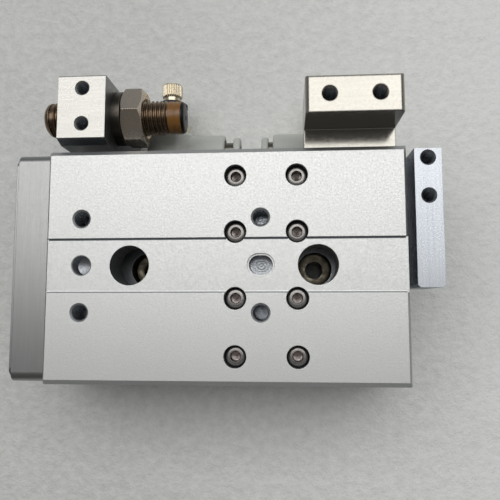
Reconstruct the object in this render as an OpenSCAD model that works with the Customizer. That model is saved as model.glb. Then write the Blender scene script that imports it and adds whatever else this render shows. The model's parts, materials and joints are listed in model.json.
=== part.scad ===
// Pneumatic slide table: a twin-piston cylinder body carries two miniature
// linear guides, and the table plate on them runs out over an end plate.
// +X is the way the table extends, +Z is up, and the air fittings, the stroke
// adjuster and its stopper are on the -Y side. The origin is midway between
// the two mounting holes, on the bottom face.

/* [Table plate] */
// Length of the table plate along its travel
table_l = 76.5; // [76:0.5:86]
// Width of the table plate
table_w = 50; // [49.5:0.5:54]
// Thickness of the table plate
table_t = 8.5; // [8:0.1:10]
// Chamfer along the long top edges of the table plate
table_chamfer = 1; // [0.4:0.1:1.2]
// Width of the shallow channel along the middle of the top face
recess_w = 11.6; // [10:0.2:12]
// Depth of the shallow channel
recess_d = 0.5; // [0.2:0.1:0.8]
// Front end of the table plate, ahead of the middle of the mounting holes
table_front_x = 38; // [37:0.5:42]
// From the front end to the first row of workpiece holes
first_row = 7.5; // [7:0.5:9]
// Between the two rows of workpiece holes
row_pitch = 38.5; // [37:0.5:40]
// Between the workpiece holes across the table
row_span = 20; // [19:0.5:21]
// Depth of the tapped workpiece holes
workpiece_depth = 7; // [5:0.5:7.5]
// Diameter of the locating hole and width of the locating slot
locating_d = 4; // [3:0.5:4]
// Length of the locating slot from end to end
locating_slot_l = 5; // [4.6:0.2:6]
// Depth of the locating hole and slot
locating_depth = 3.5; // [2:0.5:4]
// Diameter of the two screwdriver holes over the mounting screws
access_d = 8.5; // [8:0.1:9]

/* [Cylinder body] */
// Setback of the body's sides from the table's sides
body_inset = 0.5; // [0.5:0.1:1]
// Gap between the body's front face and the end plate
front_gap = 0.5; // [0.3:0.1:1]
// Gap between the table's rear end and the rear stop bar
rear_gap = 1.6; // [1:0.1:3]
// Diameter of the two cylinder bores
bore_d = 10; // [9:0.5:10.5]
// Wall between a cylinder bore and the body's side
bore_wall = 6.5; // [6:0.5:8]
// Wall under the cylinder bores
bottom_wall = 2; // [1.6:0.1:3]
// Wall between the bores and the seat of the guide rails
bore_roof = 3.5; // [3.3:0.1:4.5]
// Thickness of the body's walls beside the guides
channel_wall = 2.5; // [2:0.1:3]
// Gap between a carriage and the wall beside it
channel_gap = 0.5; // [0.3:0.1:1]
// Length of the solid rear end of the body
rear_wall = 10; // [9:0.5:11]
// Between the two mounting holes
mount_pitch = 40; // [38:0.5:42]
// Diameter of the mounting holes
mount_d = 4.3; // [4.2:0.1:4.5]
// Opening of the two sensor grooves on the plain side
groove_w = 2.6; // [2:0.1:2.8]
// Diameter of the round inside of the sensor grooves
groove_d = 3.4; // [3.2:0.1:3.6]

/* [Pistons] */
// Length of each piston's sealing land
piston_land_l = 8.2; // [8:0.1:9]
// Diameter of the piston rods
piston_rod_d = 5; // [4:0.5:5]
// Thickness of the rubber end bumpers
bumper_t = 1.5; // [1:0.1:2]
// Thickness of the retaining rings
clip_t = 0.8; // [0.6:0.1:1]

/* [Guides] */
// Width of a guide rail
rail_w = 7; // [6:0.5:7]
// Height of a guide rail
rail_h = 4.7; // [4.5:0.1:5]
// Width of a carriage
block_w = 17; // [16.5:0.5:17]
// Height of a carriage's top above the rail seat
block_h = 8; // [8:0.1:9]
// Length of a carriage with its end caps
block_l = 31; // [28:0.5:33]
// Between the carriage screws along the travel
block_pitch_x = 13; // [12:0.5:15]
// Between the carriage screws across one carriage
block_pitch_y = 12; // [11.5:0.5:12]
// From the middle of the table back to the middle of the carriages
block_set = 8.9; // [8:0.1:10]
// Diameter of the bearing balls
ball_d = 1.6; // [1.4:0.1:1.6]

/* [End plate] */
// Thickness of the end plate
plate_t = 7.8; // [7:0.1:9]
// Setback of the end plate's sides from the table's sides
plate_inset = 0.5; // [0:0.1:1]
// Radius of the end plate's corners
plate_r = 2; // [1:0.5:3]
// Drop of the end plate's top edge below the table's top face
plate_drop = 0.3; // [0.1:0.1:1]
// Distance of the tapped holes in the front face from the plate's sides
tool_edge = 4.5; // [4:0.5:5]
// Between the tapped holes in the front face, up and down
tool_span_z = 12; // [10:0.5:13]

/* [Stopper] */
// Length of the stopper block along the travel
stopper_l = 19.7; // [18:0.1:22]
// From the table's rear end to the stopper's rear face
stopper_set = 1.4; // [0:0.1:3]
// Height of the stopper above the table's top face
stopper_rise = 7.5; // [5:0.5:10]
// Thickness of the stopper's upright
stopper_t = 7.6; // [7:0.2:9]
// Reach of the stopper's foot from the table's side to the upright
stopper_foot = 4.8; // [4.4:0.2:6]
// Drop of the foot's top below the table's top face
stopper_foot_drop = 3.5; // [1.5:0.1:3.8]
// Drop of the stopper's bottom below the table's top face
stopper_drop = 11.4; // [11:0.2:13]
// Between the two tapped holes in the stopper's top
stopper_pitch = 10; // [9:0.5:11]

/* [Stroke adjuster] */
// Part of the pistons' full stroke that the adjuster takes off
stroke_cut = 2.8; // [2:0.1:6]
// Length of the adjuster bracket along the travel
bracket_l = 10.7; // [10:0.1:12]
// Thickness of the bracket's upright
bracket_t = 15.1; // [14.5:0.1:17]
// Gap between the table's side and the bracket's upright
bracket_gap = 2; // [1:0.1:3]
// Height of the bracket's foot above the bottom face
bracket_foot_z = 20; // [19:0.5:21]
// Height of the bracket's bottom above the bottom face
bracket_bottom_z = 2.5; // [1:0.5:3]
// From the table's front end to the bracket's front face
bracket_set = 1.3; // [0.5:0.1:3]
// Diameter of the adjuster bolt's thread
adjuster_d = 8; // [7:0.5:8]
// Length of the adjuster bolt
adjuster_l = 29.2; // [28:0.2:34]
// Drop of the adjuster's axis below the table's top face
adjuster_drop = 9.5; // [9:0.1:10]
// Distance of the adjuster's axis from the table's side
adjuster_out = 10.2; // [9.8:0.1:11]
// Width across the flats of the lock nut
nut_af = 12; // [11:0.5:12]
// Thickness of the lock nut
nut_t = 5; // [4:0.5:6]
// Thickness of the spring washer under the lock nut
washer_t = 2; // [1.6:0.1:2.4]
// Thickness of the urethane cushion behind the adjuster's tip
cushion_t = 2; // [1.5:0.1:3]
// Thickness of the steel tip
tip_t = 1.8; // [1.4:0.1:2.4]

/* [Rear stop bar] */
// Thickness of the bar along the travel
bar_t = 5.6; // [5.4:0.1:8]
// Width of the bar
bar_w = 29; // [28:0.5:34]
// Height of the bar
bar_h = 16.5; // [15:0.5:17]
// Setback of the bar's end from the body's side
bar_inset = 0.3; // [0:0.1:1]
// Between the two tapped holes in the bar's top
bar_pitch = 8; // [7:0.5:9]

/* [Flow controls] */
// From the body's front face to the front port
front_port_set = 21.4; // [21:0.1:23]
// From the body's rear face to the rear port
rear_port_set = 15.8; // [15.5:0.1:17]
// Height of the ports above the bottom face
port_z = 8.8; // [8:0.1:9]
// Diameter of the port thread
port_d = 5; // [4:0.5:5]
// Diameter of the elbow round the port's axis
elbow_d = 12.4; // [11:0.2:12.4]
// Length of the elbow along the port's axis
elbow_h = 10; // [9.6:0.1:10.6]
// Diameter of the elbow's tube barrel
barrel_d = 9; // [8.4:0.2:9]
// Room between the two release rings, for pulling the tubes out
release_room = 5.4; // [4:0.1:8]
// Outer diameter of the air tube
tube_d = 4; // [3:0.5:4]
// Diameter of the release ring's flange
release_d = 7.6; // [7:0.2:8]
// How far the front release ring's neck stands out of its barrel
front_release_out = 2.2; // [1.2:0.2:2.4]
// How far the rear release ring's neck stands out of its barrel
rear_release_out = 1.2; // [1.2:0.2:2.4]
// Diameter of the knurled needle knob
knob_d = 5.2; // [4.6:0.2:7]
// Height of the knurled needle knob
knob_h = 3.5; // [2.5:0.5:5]

/* [Hidden] */

$fn = 48;
eps = 0.01;             // overshoot of cutters past the face they cut
run = 0.05;             // radial clearance of parts that turn or slide on each other
seat_gap = 0.02;        // clearance of seals and rings in their seats
thread_run = 0.1;       // radial clearance of a plain bore that stands for a turning thread

// Metric threads: nominal, tap drill, cap head diameter and height, hexagon key
m2 = [2, 1.6, 3.8, 2, 1.5];
m25 = [2.5, 2.05, 4.5, 2.5, 2];
m3 = [3, 2.5, 5.5, 3, 2.5];
m4 = [4, 3.3, 7, 4, 3];
head_gap = 0.12;        // radial clearance of a cap head in its counterbore
head_sink = 0.4;        // depth of a cap head's top below the face around it
thread_spare = 1;       // depth of a tapped hole past the end of its screw
shank_gap = 0.2;        // radial clearance of a screw's shank in its hole
thread_gap = 0.05;      // radial gap that stands for the thread's flanks
tap_chamfer = 0.4;      // countersink at the mouth of a tapped hole

// Widths
body_w = table_w - 2 * body_inset;
plate_w = table_w - 2 * plate_inset;
channel_w = body_w - 2 * channel_wall;
guide_span = channel_w - 2 * channel_gap - block_w;
bore_span = body_w - 2 * bore_wall - bore_d;
tool_span_y = plate_w - 2 * tool_edge;

// Heights
bore_z = bottom_wall + bore_d / 2;
seat_z = bottom_wall + bore_d + bore_roof;
under_z = seat_z + block_h;
top_z = under_z + table_t;
wall_top_z = under_z - 0.5;

// Depth that each set of screws is screwed in
rail_bite = 2.8;
block_bite = 3.3;
plate_bite = 7;
rod_bite = 6.5;
stopper_bite = 6.5;
bracket_bite = 5;
bar_bite = 6;
port_bite = 4;

// Places along the travel
table_rear_x = table_front_x - table_l;
body_front_x = table_front_x - front_gap;
body_rear_x = table_rear_x - rear_gap;
body_l = body_front_x - body_rear_x;
front_row_x = table_front_x - first_row;
rear_row_x = front_row_x - row_pitch;
block_x = (table_front_x + table_rear_x) / 2 - block_set;
channel_rear_x = body_rear_x + rear_wall;
front_port_x = body_front_x - front_port_set;
rear_port_x = body_rear_x + rear_port_set;

// Cylinder: the pistons leave both ports open at either end of the full stroke
passage_d = 2;
port_open = passage_d / 2 + 0.1;
clip_set = 1;                                   // lip of the body outside each retaining ring
clip_groove = 0.3;                              // depth of the ring's groove
cover_front_x = body_front_x - clip_set - clip_t - 0.1;
cover_rear_x = front_port_x + port_open + bumper_t;
cap_rear_x = body_rear_x + clip_set + clip_t + 0.1;
cap_front_x = rear_port_x - port_open - bumper_t;
land_rear_x = rear_port_x + port_open;
land_front_x = land_rear_x + piston_land_l;
full_stroke = front_port_x - port_open - land_front_x;
stroke = full_stroke - stroke_cut;             // travel of the table up to the adjuster
piston_rear_x = cap_front_x + bumper_t + 0.1;
piston_front_x = cover_rear_x - bumper_t - full_stroke - 0.1;
piston_seal_l = 1.8;
magnet_l = 2.4;
land_share = (piston_land_l - piston_seal_l - magnet_l) / 3;
boss_d = 0.72 * bore_d;
rod_seal_d = piston_rod_d * 1.56;
rod_seal_l = piston_rod_d * 0.4;

// Guides
rail_front_x = body_front_x - 0.5;
rail_rear_x = channel_rear_x + 0.6;
rail_l = rail_front_x - rail_rear_x;
rail_pitch = 15;
rail_screw_n = floor((rail_l - 6) / rail_pitch) + 1;
rail_screw_x = rail_rear_x + (rail_l - (rail_screw_n - 1) * rail_pitch) / 2;
block_gap = 1.5;                                // under the carriages
side_gap = 0.4;                                 // between a rail's side and its carriage
ball_z = seat_z + 0.6 * rail_h;
ball_y = rail_w / 2 + side_gap / 2;
seal_l = 1;
cap_l = 3;
steel_l = block_l - 2 * (seal_l + cap_l);
ball_pitch = ball_d + 0.4;
ball_n = floor((steel_l - 1) / ball_pitch);
block_head_sink = 1.4;                          // of the carriage screws below the top face

// End plate
plate_bottom_z = 1;
plate_top_z = top_z - plate_drop;
plate_screw_z = under_z + table_t / 2;
plate_screw_y = [5, plate_w / 2 - 5.5];
rod_sink = 1.5;                                 // rod ends in their pockets in the end plate
tool_z = bottom_wall + bore_d + 4;

// Stopper on the table's side
stopper_front_x = table_rear_x + stopper_set + stopper_l;
stopper_x = stopper_front_x - stopper_l / 2;
stopper_in_y = -table_w / 2 - stopper_foot;
stopper_out_y = stopper_in_y - stopper_t;
stopper_screw_z = under_z + 2.5;
stopper_hole_depth = 9;

// Adjuster bracket on the body's side
bracket_front_x = table_front_x - bracket_set;
bracket_rear_x = bracket_front_x - bracket_l;
bracket_x = (bracket_front_x + bracket_rear_x) / 2;
bracket_in_y = -table_w / 2 - bracket_gap;
bracket_out_y = bracket_in_y - bracket_t;
bracket_edge = [1, 2.6];                        // chamfer of the upright's inner top edge
bracket_hole_pitch = 8;
bracket_hole_depth = 4.5;
bracket_screw_set = 4.5;                        // lower screw above the bracket's bottom
bracket_screw_pitch = 7.8;
bracket_screw_z = [for (i = [0, 1]) bracket_bottom_z + bracket_screw_set + i * bracket_screw_pitch];
adjuster_y = -table_w / 2 - adjuster_out;
adjuster_z = top_z - adjuster_drop;
stop_gap = 0.1;
adjuster_bore_d = adjuster_d + 2 * thread_run;
key_af = adjuster_d / 2;                        // hexagon socket in the bolt's end
key_depth = adjuster_d / 2;
cushion_stem_d = adjuster_d * 0.375;
cushion_stem_l = adjuster_d * 0.375;
tip_x = stopper_front_x + stroke + stop_gap;
cushion_x = tip_x + tip_t;
bolt_x = cushion_x + cushion_t;
washer_x = bracket_rear_x - washer_t;
nut_x = washer_x - nut_t;

// Rear stop bar
bar_rear_x = body_rear_x - bar_t;
bar_end_y = -body_w / 2 + bar_inset;
bar_y = bar_end_y + bar_w / 2;
bar_bottom_z = top_z - bar_h;
bar_screw_z = bar_bottom_z + 3.7;
bar_screw_span = 20;
bar_hole_set = 2;                               // first tapped hole from the bar's end
bar_hole_depth = 8;

// Flow controls, measured outwards from the body's side
gasket_t = 0.8;
elbow_z0 = gasket_t + 0.2;
elbow_z1 = elbow_z0 + elbow_h;
barrel_z = elbow_z0 + elbow_h * 0.49;
flange_t = 1.2;
stem_neck_d = 6;
stem_hex_af = 8;
stem_hex_t = 2.4;
stem_cap_d = 8.2;
stem_top_z = elbow_z1 + 0.2 + stem_hex_t + 3.4;
needle_nut_af = 7;
needle_nut_t = 2.2;
needle_nut_z = stem_top_z + 0.1;
needle_neck_z = needle_nut_z + needle_nut_t + 0.4;
needle_neck_h = 1;
knob_z = needle_neck_z + needle_neck_h;
needle_d = 3.1;
knob_neck_d = knob_d - 1;
knob_pin_d = 2;
knob_pin_l = needle_neck_h + knob_h / 2;
needle_ring_z = barrel_z + 3.5;
collet_d = tube_d + 2.6;
release_l = barrel_d * 0.95;
collet_l = barrel_d * 0.48;
release_flange_t = 1.7;
release_out = front_release_out + rear_release_out + 2 * release_flange_t;
barrel_l = (front_port_x - rear_port_x - release_out - release_room) / 2;
tube_floor = 4.1;                               // from the port's axis to the end of the tube
collet_floor = 6.1;                             // and to the collet's shoulder

// Tones
satin = [0.80, 0.81, 0.82];
anodised = [0.72, 0.73, 0.75];
steel = [0.62, 0.61, 0.60];
dark_steel = [0.30, 0.27, 0.25];
black = [0.10, 0.10, 0.11];
resin = [0.80, 0.80, 0.77];
brass = [0.80, 0.72, 0.52];
amber = [0.62, 0.36, 0.16];

// ---- Shared shapes ----

// A profile in the YZ plane, run along X from x0
module along_x(x0, l) {
    translate([x0, 0, 0]) rotate([90, 0, 90]) linear_extrude(l) children();
}

// Round bar along X between x0 and x1
module bar_x(d, x0, x1) {
    translate([x0, 0, 0]) rotate([0, 90, 0]) cylinder(d = d, h = x1 - x0);
}

// Round bar along Y between y0 and y1
module bar_y(d, y0, y1) {
    translate([0, y0, 0]) rotate([-90, 0, 0]) cylinder(d = d, h = y1 - y0);
}

// Ring along Z, from the origin up
module ring(d_out, d_in, h) {
    difference() {
        cylinder(d = d_out, h = h);
        translate([0, 0, -eps]) cylinder(d = d_in, h = h + 2 * eps);
    }
}

// Ring along X from x0
module ring_x(d_out, d_in, x0, h) {
    translate([x0, 0, 0]) rotate([0, 90, 0]) ring(d_out, d_in, h);
}

// Rectangle with round corners, centred
module rounded(w, h, r) {
    square([w - 2 * r, h], center = true);
    square([w, h - 2 * r], center = true);
    for (sx = [-1, 1], sy = [-1, 1])
        translate([sx * (w / 2 - r), sy * (h / 2 - r)]) circle(r = r);
}

// Hexagonal prism, by its width across the flats
module hexagon(af, h) {
    cylinder(d = af / cos(30), h = h, $fn = 6);
}

// Hexagon nut with both faces chamfered down to a circle
module chamfered_hexagon(af, h) {
    corner = af / cos(30) / 2;
    drop = (corner - af / 2 * 0.96) * 0.58;
    intersection() {
        hexagon(af, h);
        rotate_extrude() polygon([
            [0, 0], [af / 2 * 0.96, 0], [corner, drop],
            [corner, h - drop], [af / 2 * 0.96, h], [0, h]
        ]);
    }
}

// Socket cap screw along -Z, with the head's seat at the origin
module cap_screw(m, l) {
    difference() {
        union() {
            rotate_extrude() polygon([
                [0, 0], [m[2] / 2, 0], [m[2] / 2, m[3] * 0.88],
                [m[2] / 2 - m[3] * 0.12, m[3]], [0, m[3]]
            ]);
            translate([0, 0, -l]) cylinder(d = m[0] - 2 * thread_gap, h = l + eps);
        }
        translate([0, 0, m[3] * 0.45]) hexagon(m[4], m[3]);
    }
}

// Cutter for a cap screw along -Z: counterbore, clearance hole and tapped hole
module screw_hole(m, sink, grip, thread) {
    cylinder(d = m[2] + 2 * head_gap, h = m[3] + sink);
    translate([0, 0, -grip - eps]) cylinder(d = m[0] + shank_gap, h = grip + 2 * eps);
    translate([0, 0, -grip - thread]) cylinder(d = m[0], h = thread + eps);
}

// Cutter for a free tapped hole along -Z, with its mouth at the origin
module tapped(m, depth) {
    translate([0, 0, -depth]) cylinder(d = m[1], h = depth + eps);
    translate([0, 0, -depth - m[1] * 0.3]) cylinder(d1 = 0.02, d2 = m[1], h = m[1] * 0.3 + eps);
    translate([0, 0, -tap_chamfer]) cylinder(d1 = m[1], d2 = m[1] + 2 * tap_chamfer, h = tap_chamfer);
    cylinder(d = m[1] + 2 * tap_chamfer, h = eps);
}

// Repeats across both cylinder bores
module at_bores() {
    for (s = [-1, 1]) translate([0, s * bore_span / 2, bore_z]) children();
}

// Repeats on both carriages
module at_guides() {
    for (s = [-1, 1]) translate([0, s * guide_span / 2, 0]) children();
}

// The frame of a port: Z runs out of the body's side and X along the tube barrel
module at_port(x, turn) {
    translate([x, -body_w / 2, port_z]) rotate([90, 0, 0]) rotate([0, 0, turn]) children();
}

// ---- Cylinder body and what is fixed to it ----

module body_outline() {
    c = 0.6;
    polygon([
        [-body_w / 2, c], [-body_w / 2 + c, 0], [body_w / 2 - c, 0], [body_w / 2, c],
        [body_w / 2, wall_top_z - c], [body_w / 2 - c, wall_top_z],
        [-body_w / 2 + c, wall_top_z], [-body_w / 2, wall_top_z - c]
    ]);
}

// Round sensor groove with a narrow opening in the plain side
module sensor_groove(z) {
    depth = 2 + groove_d / 2;
    translate([body_rear_x - eps, body_w / 2 - 2, z]) {
        bar_x(groove_d, 0, body_l + 2 * eps);
        translate([0, 0, -groove_w / 2]) cube([body_l + 2 * eps, depth, groove_w]);
    }
}

// Grooves for the retaining rings at both ends of a bore
module clip_grooves() {
    d = bore_d + 2 * clip_groove;
    bar_x(d, body_front_x - clip_set - clip_t - 0.1, body_front_x - clip_set);
    bar_x(d, body_rear_x + clip_set, body_rear_x + clip_set + clip_t + 0.1);
}

// Port thread on one side, and the passage that runs on to the bores
module port_cut(x) {
    depth = port_bite + thread_spare;
    translate([x, 0, port_z]) {
        bar_y(port_d, -body_w / 2 - eps, -body_w / 2 + depth);
        bar_y(port_d, body_w / 2 - depth, body_w / 2 + eps);
        bar_y(passage_d, -body_w / 2 + eps, body_w / 2 - eps);
    }
}

module cylinder_body() {
    locate_d = 3;
    locate_set = 10;        // from a mounting hole
    locate_depth = 3;
    color(anodised) difference() {
        along_x(body_rear_x, body_l) body_outline();
        translate([channel_rear_x, -channel_w / 2, seat_z])
            cube([body_l, channel_w, table_t + block_h]);
        at_bores() {
            bar_x(bore_d, body_rear_x - eps, body_front_x + eps);
            clip_grooves();
        }
        port_cut(front_port_x);
        port_cut(rear_port_x);
        sensor_groove(bore_z - 3.4);
        sensor_groove(bore_z + 6.4);
        for (s = [-1, 1]) translate([s * mount_pitch / 2, 0, 0]) {
            translate([0, 0, -eps]) cylinder(d = mount_d, h = seat_z);
            translate([0, 0, seat_z - m4[3] - head_sink]) cylinder(d = m4[2] + 1, h = m4[3] + 1);
        }
        translate([mount_pitch / 2 + locate_set, 0, -eps]) cylinder(d = locate_d, h = locate_depth);
        translate([-mount_pitch / 2 - locate_set, 0, -eps]) linear_extrude(locate_depth)
            rounded(locate_d + 1, locate_d, locate_d / 2 - eps);
        at_guides() for (i = [0 : rail_screw_n - 1])
            translate([rail_screw_x + i * rail_pitch, 0, seat_z - rail_bite - 0.2])
                cylinder(d = m2[0], h = rail_bite + 1);
        for (z = bracket_screw_z)
            translate([bracket_x, -body_w / 2, z])
                bar_y(m4[0], -eps, bracket_bite + thread_spare);
        for (s = [-1, 1])
            translate([0, bar_y + s * bar_screw_span / 2, bar_screw_z])
                bar_x(m3[0], body_rear_x - eps, body_rear_x + bar_bite + thread_spare);
    }
}

// Guide rail with a ball groove in each side and counterbored screw holes
module guide_rail() {
    groove = ball_d / 2 + 0.03;
    color(steel) difference() {
        along_x(rail_rear_x, rail_l) translate([-rail_w / 2, seat_z]) polygon([
            [0, 0], [rail_w, 0], [rail_w, rail_h - 0.4], [rail_w - 0.4, rail_h],
            [0.4, rail_h], [0, rail_h - 0.4]
        ]);
        for (s = [-1, 1])
            translate([0, s * ball_y, ball_z])
                bar_x(2 * groove, rail_rear_x - eps, rail_front_x + eps);
        for (i = [0 : rail_screw_n - 1])
            translate([rail_screw_x + i * rail_pitch, 0, seat_z + rail_h - m2[3] - head_sink])
                screw_hole(m2, 1, rail_h, 0.01);
    }
}

module guide_rail_port_side() {
    translate([0, -guide_span / 2, 0]) guide_rail();
}

module guide_rail_plain_side() {
    translate([0, guide_span / 2, 0]) guide_rail();
}

module rail_screws() {
    color(dark_steel) at_guides() for (i = [0 : rail_screw_n - 1])
        translate([rail_screw_x + i * rail_pitch, 0, seat_z + rail_h - m2[3] - head_sink])
            cap_screw(m2, rail_h - m2[3] - head_sink + rail_bite);
}

// Bush that guides the rod, with a pocket for the rod seal in front
module rod_covers() {
    mid = (cover_front_x + cover_rear_x) / 2;
    color(anodised) at_bores() difference() {
        bar_x(bore_d - 2 * seat_gap, cover_rear_x, cover_front_x);
        bar_x(piston_rod_d + 0.06, cover_rear_x - eps, cover_front_x + eps);
        bar_x(rod_seal_d, cover_front_x - rod_seal_l - 0.2, cover_front_x + eps);
        ring_x(bore_d + 1, bore_d - 1.8, mid - 0.7, 1.4);
    }
}

module rod_cover_rings() {
    mid = (cover_front_x + cover_rear_x) / 2;
    color(black) at_bores() ring_x(bore_d - 2 * seat_gap, bore_d - 1.8 + 2 * seat_gap, mid - 0.55, 1.1);
}

module rod_seals() {
    color(black) at_bores()
        ring_x(rod_seal_d - 2 * seat_gap, piston_rod_d + 2 * seat_gap,
            cover_front_x - rod_seal_l - 0.1, rod_seal_l);
}

module head_caps() {
    mid = (cap_front_x + cap_rear_x) / 2;
    color(anodised) at_bores() difference() {
        bar_x(bore_d - 2 * seat_gap, cap_rear_x, cap_front_x);
        ring_x(bore_d + 1, bore_d - 1.8, mid - 0.7, 1.4);
        bar_x(bore_d * 0.5, cap_rear_x - eps, cap_rear_x + 2);
    }
}

module head_cap_rings() {
    mid = (cap_front_x + cap_rear_x) / 2;
    color(black) at_bores() ring_x(bore_d - 2 * seat_gap, bore_d - 1.8 + 2 * seat_gap, mid - 0.55, 1.1);
}

// Internal retaining ring, open at the bottom, with an eye in each end
module retaining_ring(x0) {
    d_out = bore_d + 2 * clip_groove - 0.1;
    d_in = bore_d - 1.6;
    translate([x0, 0, 0]) rotate([0, 90, 0]) difference() {
        union() {
            ring(d_out, d_in, clip_t);
            intersection() {
                cylinder(d = d_out, h = clip_t);
                for (s = [-1, 1]) translate([d_in / 2 - 0.2, s * 1.5, 0]) cylinder(d = 2.2, h = clip_t);
            }
        }
        translate([0, -0.7, -eps]) cube([bore_d, 1.4, clip_t + 2 * eps]);
        for (s = [-1, 1]) translate([d_in / 2 - 0.2, s * 1.6, -eps]) cylinder(d = 0.8, h = clip_t + 2 * eps);
    }
}

module retaining_rings() {
    color(dark_steel) at_bores() {
        retaining_ring(body_front_x - clip_set - clip_t - 0.05);
        retaining_ring(body_rear_x + clip_set + 0.05);
    }
}

module end_bumpers() {
    color(black) at_bores() {
        ring_x(bore_d - 0.4, piston_rod_d + 0.8, cover_rear_x - bumper_t, bumper_t);
        ring_x(bore_d - 0.4, piston_rod_d - 1.5, cap_front_x, bumper_t);
    }
}

// Socket plugs in the spare ports of the plain side
module port_plugs() {
    color(dark_steel) for (x = [front_port_x, rear_port_x])
        translate([x, body_w / 2 - 0.4, port_z]) rotate([-90, 0, 0]) difference() {
            translate([0, 0, -port_bite]) cylinder(d = port_d - 2 * thread_gap, h = port_bite);
            translate([0, 0, -port_bite * 0.45]) hexagon(port_d / 2, port_bite);
        }
}

module adjuster_bracket() {
    foot_in_y = -body_w / 2;
    color(satin) difference() {
        along_x(bracket_rear_x, bracket_l) polygon([
            [bracket_out_y, bracket_bottom_z + 0.5], [bracket_out_y + 0.5, bracket_bottom_z],
            [foot_in_y, bracket_bottom_z], [foot_in_y, bracket_foot_z],
            [bracket_in_y, bracket_foot_z], [bracket_in_y, top_z - bracket_edge[1]],
            [bracket_in_y - bracket_edge[0], top_z], [bracket_out_y + 0.3, top_z],
            [bracket_out_y, top_z - 0.3]
        ]);
        translate([0, adjuster_y, adjuster_z]) {
            bar_x(adjuster_bore_d, bracket_rear_x - eps, bracket_front_x + eps);
            translate([bracket_rear_x - eps, 0, 0]) rotate([0, 90, 0])
                cylinder(d1 = adjuster_bore_d + 1, d2 = adjuster_bore_d, h = 0.5);
        }
        for (s = [-1, 1])
            translate([bracket_x - 0.1, adjuster_y + s * bracket_hole_pitch / 2, top_z])
                tapped(m3, bracket_hole_depth);
        for (z = bracket_screw_z)
            translate([bracket_x, bracket_out_y + m4[3] + head_sink, z]) rotate([90, 0, 0])
                screw_hole(m4, 1, bracket_t + bracket_gap + table_w / 2, 0.01);
    }
}

module bracket_screws() {
    grip = -body_w / 2 - (bracket_out_y + m4[3] + head_sink);
    color(steel) for (z = bracket_screw_z)
        translate([bracket_x, bracket_out_y + m4[3] + head_sink, z]) rotate([90, 0, 0])
            cap_screw(m4, grip + bracket_bite);
}

module rear_stop_bar() {
    c = 0.5;
    hole_y = [bar_end_y + bar_hole_set, bar_end_y + bar_hole_set + bar_pitch];
    color(satin) difference() {
        translate([bar_rear_x, 0, bar_bottom_z]) linear_extrude(bar_h) polygon([
            [0, bar_end_y], [bar_t, bar_end_y], [bar_t, bar_end_y + bar_w - c],
            [bar_t - c, bar_end_y + bar_w], [c, bar_end_y + bar_w], [0, bar_end_y + bar_w - c]
        ]);
        for (y = hole_y) translate([bar_rear_x + bar_t / 2, y, top_z]) tapped(m3, bar_hole_depth);
        for (s = [-1, 1])
            translate([bar_rear_x + m3[3] + head_sink, bar_y + s * bar_screw_span / 2, bar_screw_z])
                rotate([0, -90, 0]) screw_hole(m3, 1, bar_t, 0.01);
    }
}

module bar_screws() {
    grip = bar_t - m3[3] - head_sink;
    color(steel) for (s = [-1, 1])
        translate([bar_rear_x + m3[3] + head_sink, bar_y + s * bar_screw_span / 2, bar_screw_z])
            rotate([0, -90, 0]) cap_screw(m3, grip + bar_bite);
}

// ---- Table and what moves with it ----

module table_outline() {
    c = table_chamfer;
    polygon([
        [-table_w / 2, under_z], [table_w / 2, under_z], [table_w / 2, top_z - c],
        [table_w / 2 - c, top_z], [recess_w / 2, top_z], [recess_w / 2, top_z - recess_d],
        [-recess_w / 2, top_z - recess_d], [-recess_w / 2, top_z],
        [-table_w / 2 + c, top_z], [-table_w / 2, top_z - c]
    ]);
}

module table_plate() {
    c = 0.5;
    deck_z = top_z - recess_d;
    color(satin) difference() {
        intersection() {
            along_x(table_rear_x, table_l) table_outline();
            translate([0, table_w / 2 + 1, 0]) rotate([90, 0, 0]) linear_extrude(table_w + 2) polygon([
                [table_rear_x, under_z], [table_front_x, under_z], [table_front_x, top_z - 0.3],
                [table_front_x - 0.3, top_z], [table_rear_x + c, top_z], [table_rear_x, top_z - c]
            ]);
        }
        for (x = [front_row_x, rear_row_x], s = [-1, 1])
            translate([x, s * row_span / 2, top_z]) tapped(m4, workpiece_depth);
        translate([front_row_x, 0, deck_z - locating_depth]) {
            cylinder(d = locating_d, h = locating_depth + eps);
            translate([0, 0, locating_depth - 0.2])
                cylinder(d1 = locating_d, d2 = locating_d + 0.5, h = 0.2 + eps);
        }
        translate([rear_row_x, 0, deck_z - locating_depth])
            linear_extrude(locating_depth + eps) slot_outline(0);
        translate([rear_row_x, 0, deck_z - 0.4]) linear_extrude(0.4 + eps) slot_outline(0.4);
        for (s = [-1, 1])
            translate([s * mount_pitch / 2, 0, under_z - eps]) cylinder(d = access_d, h = table_t + 1);
        at_carriage_screws() screw_hole(m25, block_head_sink + 1, table_t, 0.01);
        for (y = plate_screw_y, s = [-1, 1])
            translate([0, s * y, plate_screw_z])
                bar_x(m3[0], table_front_x - plate_bite - thread_spare, table_front_x + eps);
        for (s = [-1, 1])
            translate([stopper_x + s * stopper_pitch / 2, 0, stopper_screw_z])
                bar_y(m4[0], -table_w / 2 - eps, -table_w / 2 + stopper_bite + thread_spare);
    }
}

// Outline of the locating slot, grown by g
module slot_outline(g) {
    w = locating_slot_l + 2 * g;
    h = locating_d + 2 * g;
    translate([-(w - h) / 2, -h / 2]) square([w - h, h]);
    for (s = [-1, 1]) translate([s * (w - h) / 2, 0]) circle(d = h);
}

// The eight carriage screws, each with the seat of its head at the origin
module at_carriage_screws() {
    seat = top_z - block_head_sink - m25[3];
    at_guides() for (sx = [-1, 1], sy = [-1, 1])
        translate([block_x + sx * block_pitch_x / 2, sy * block_pitch_y / 2, seat]) children();
}

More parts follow.
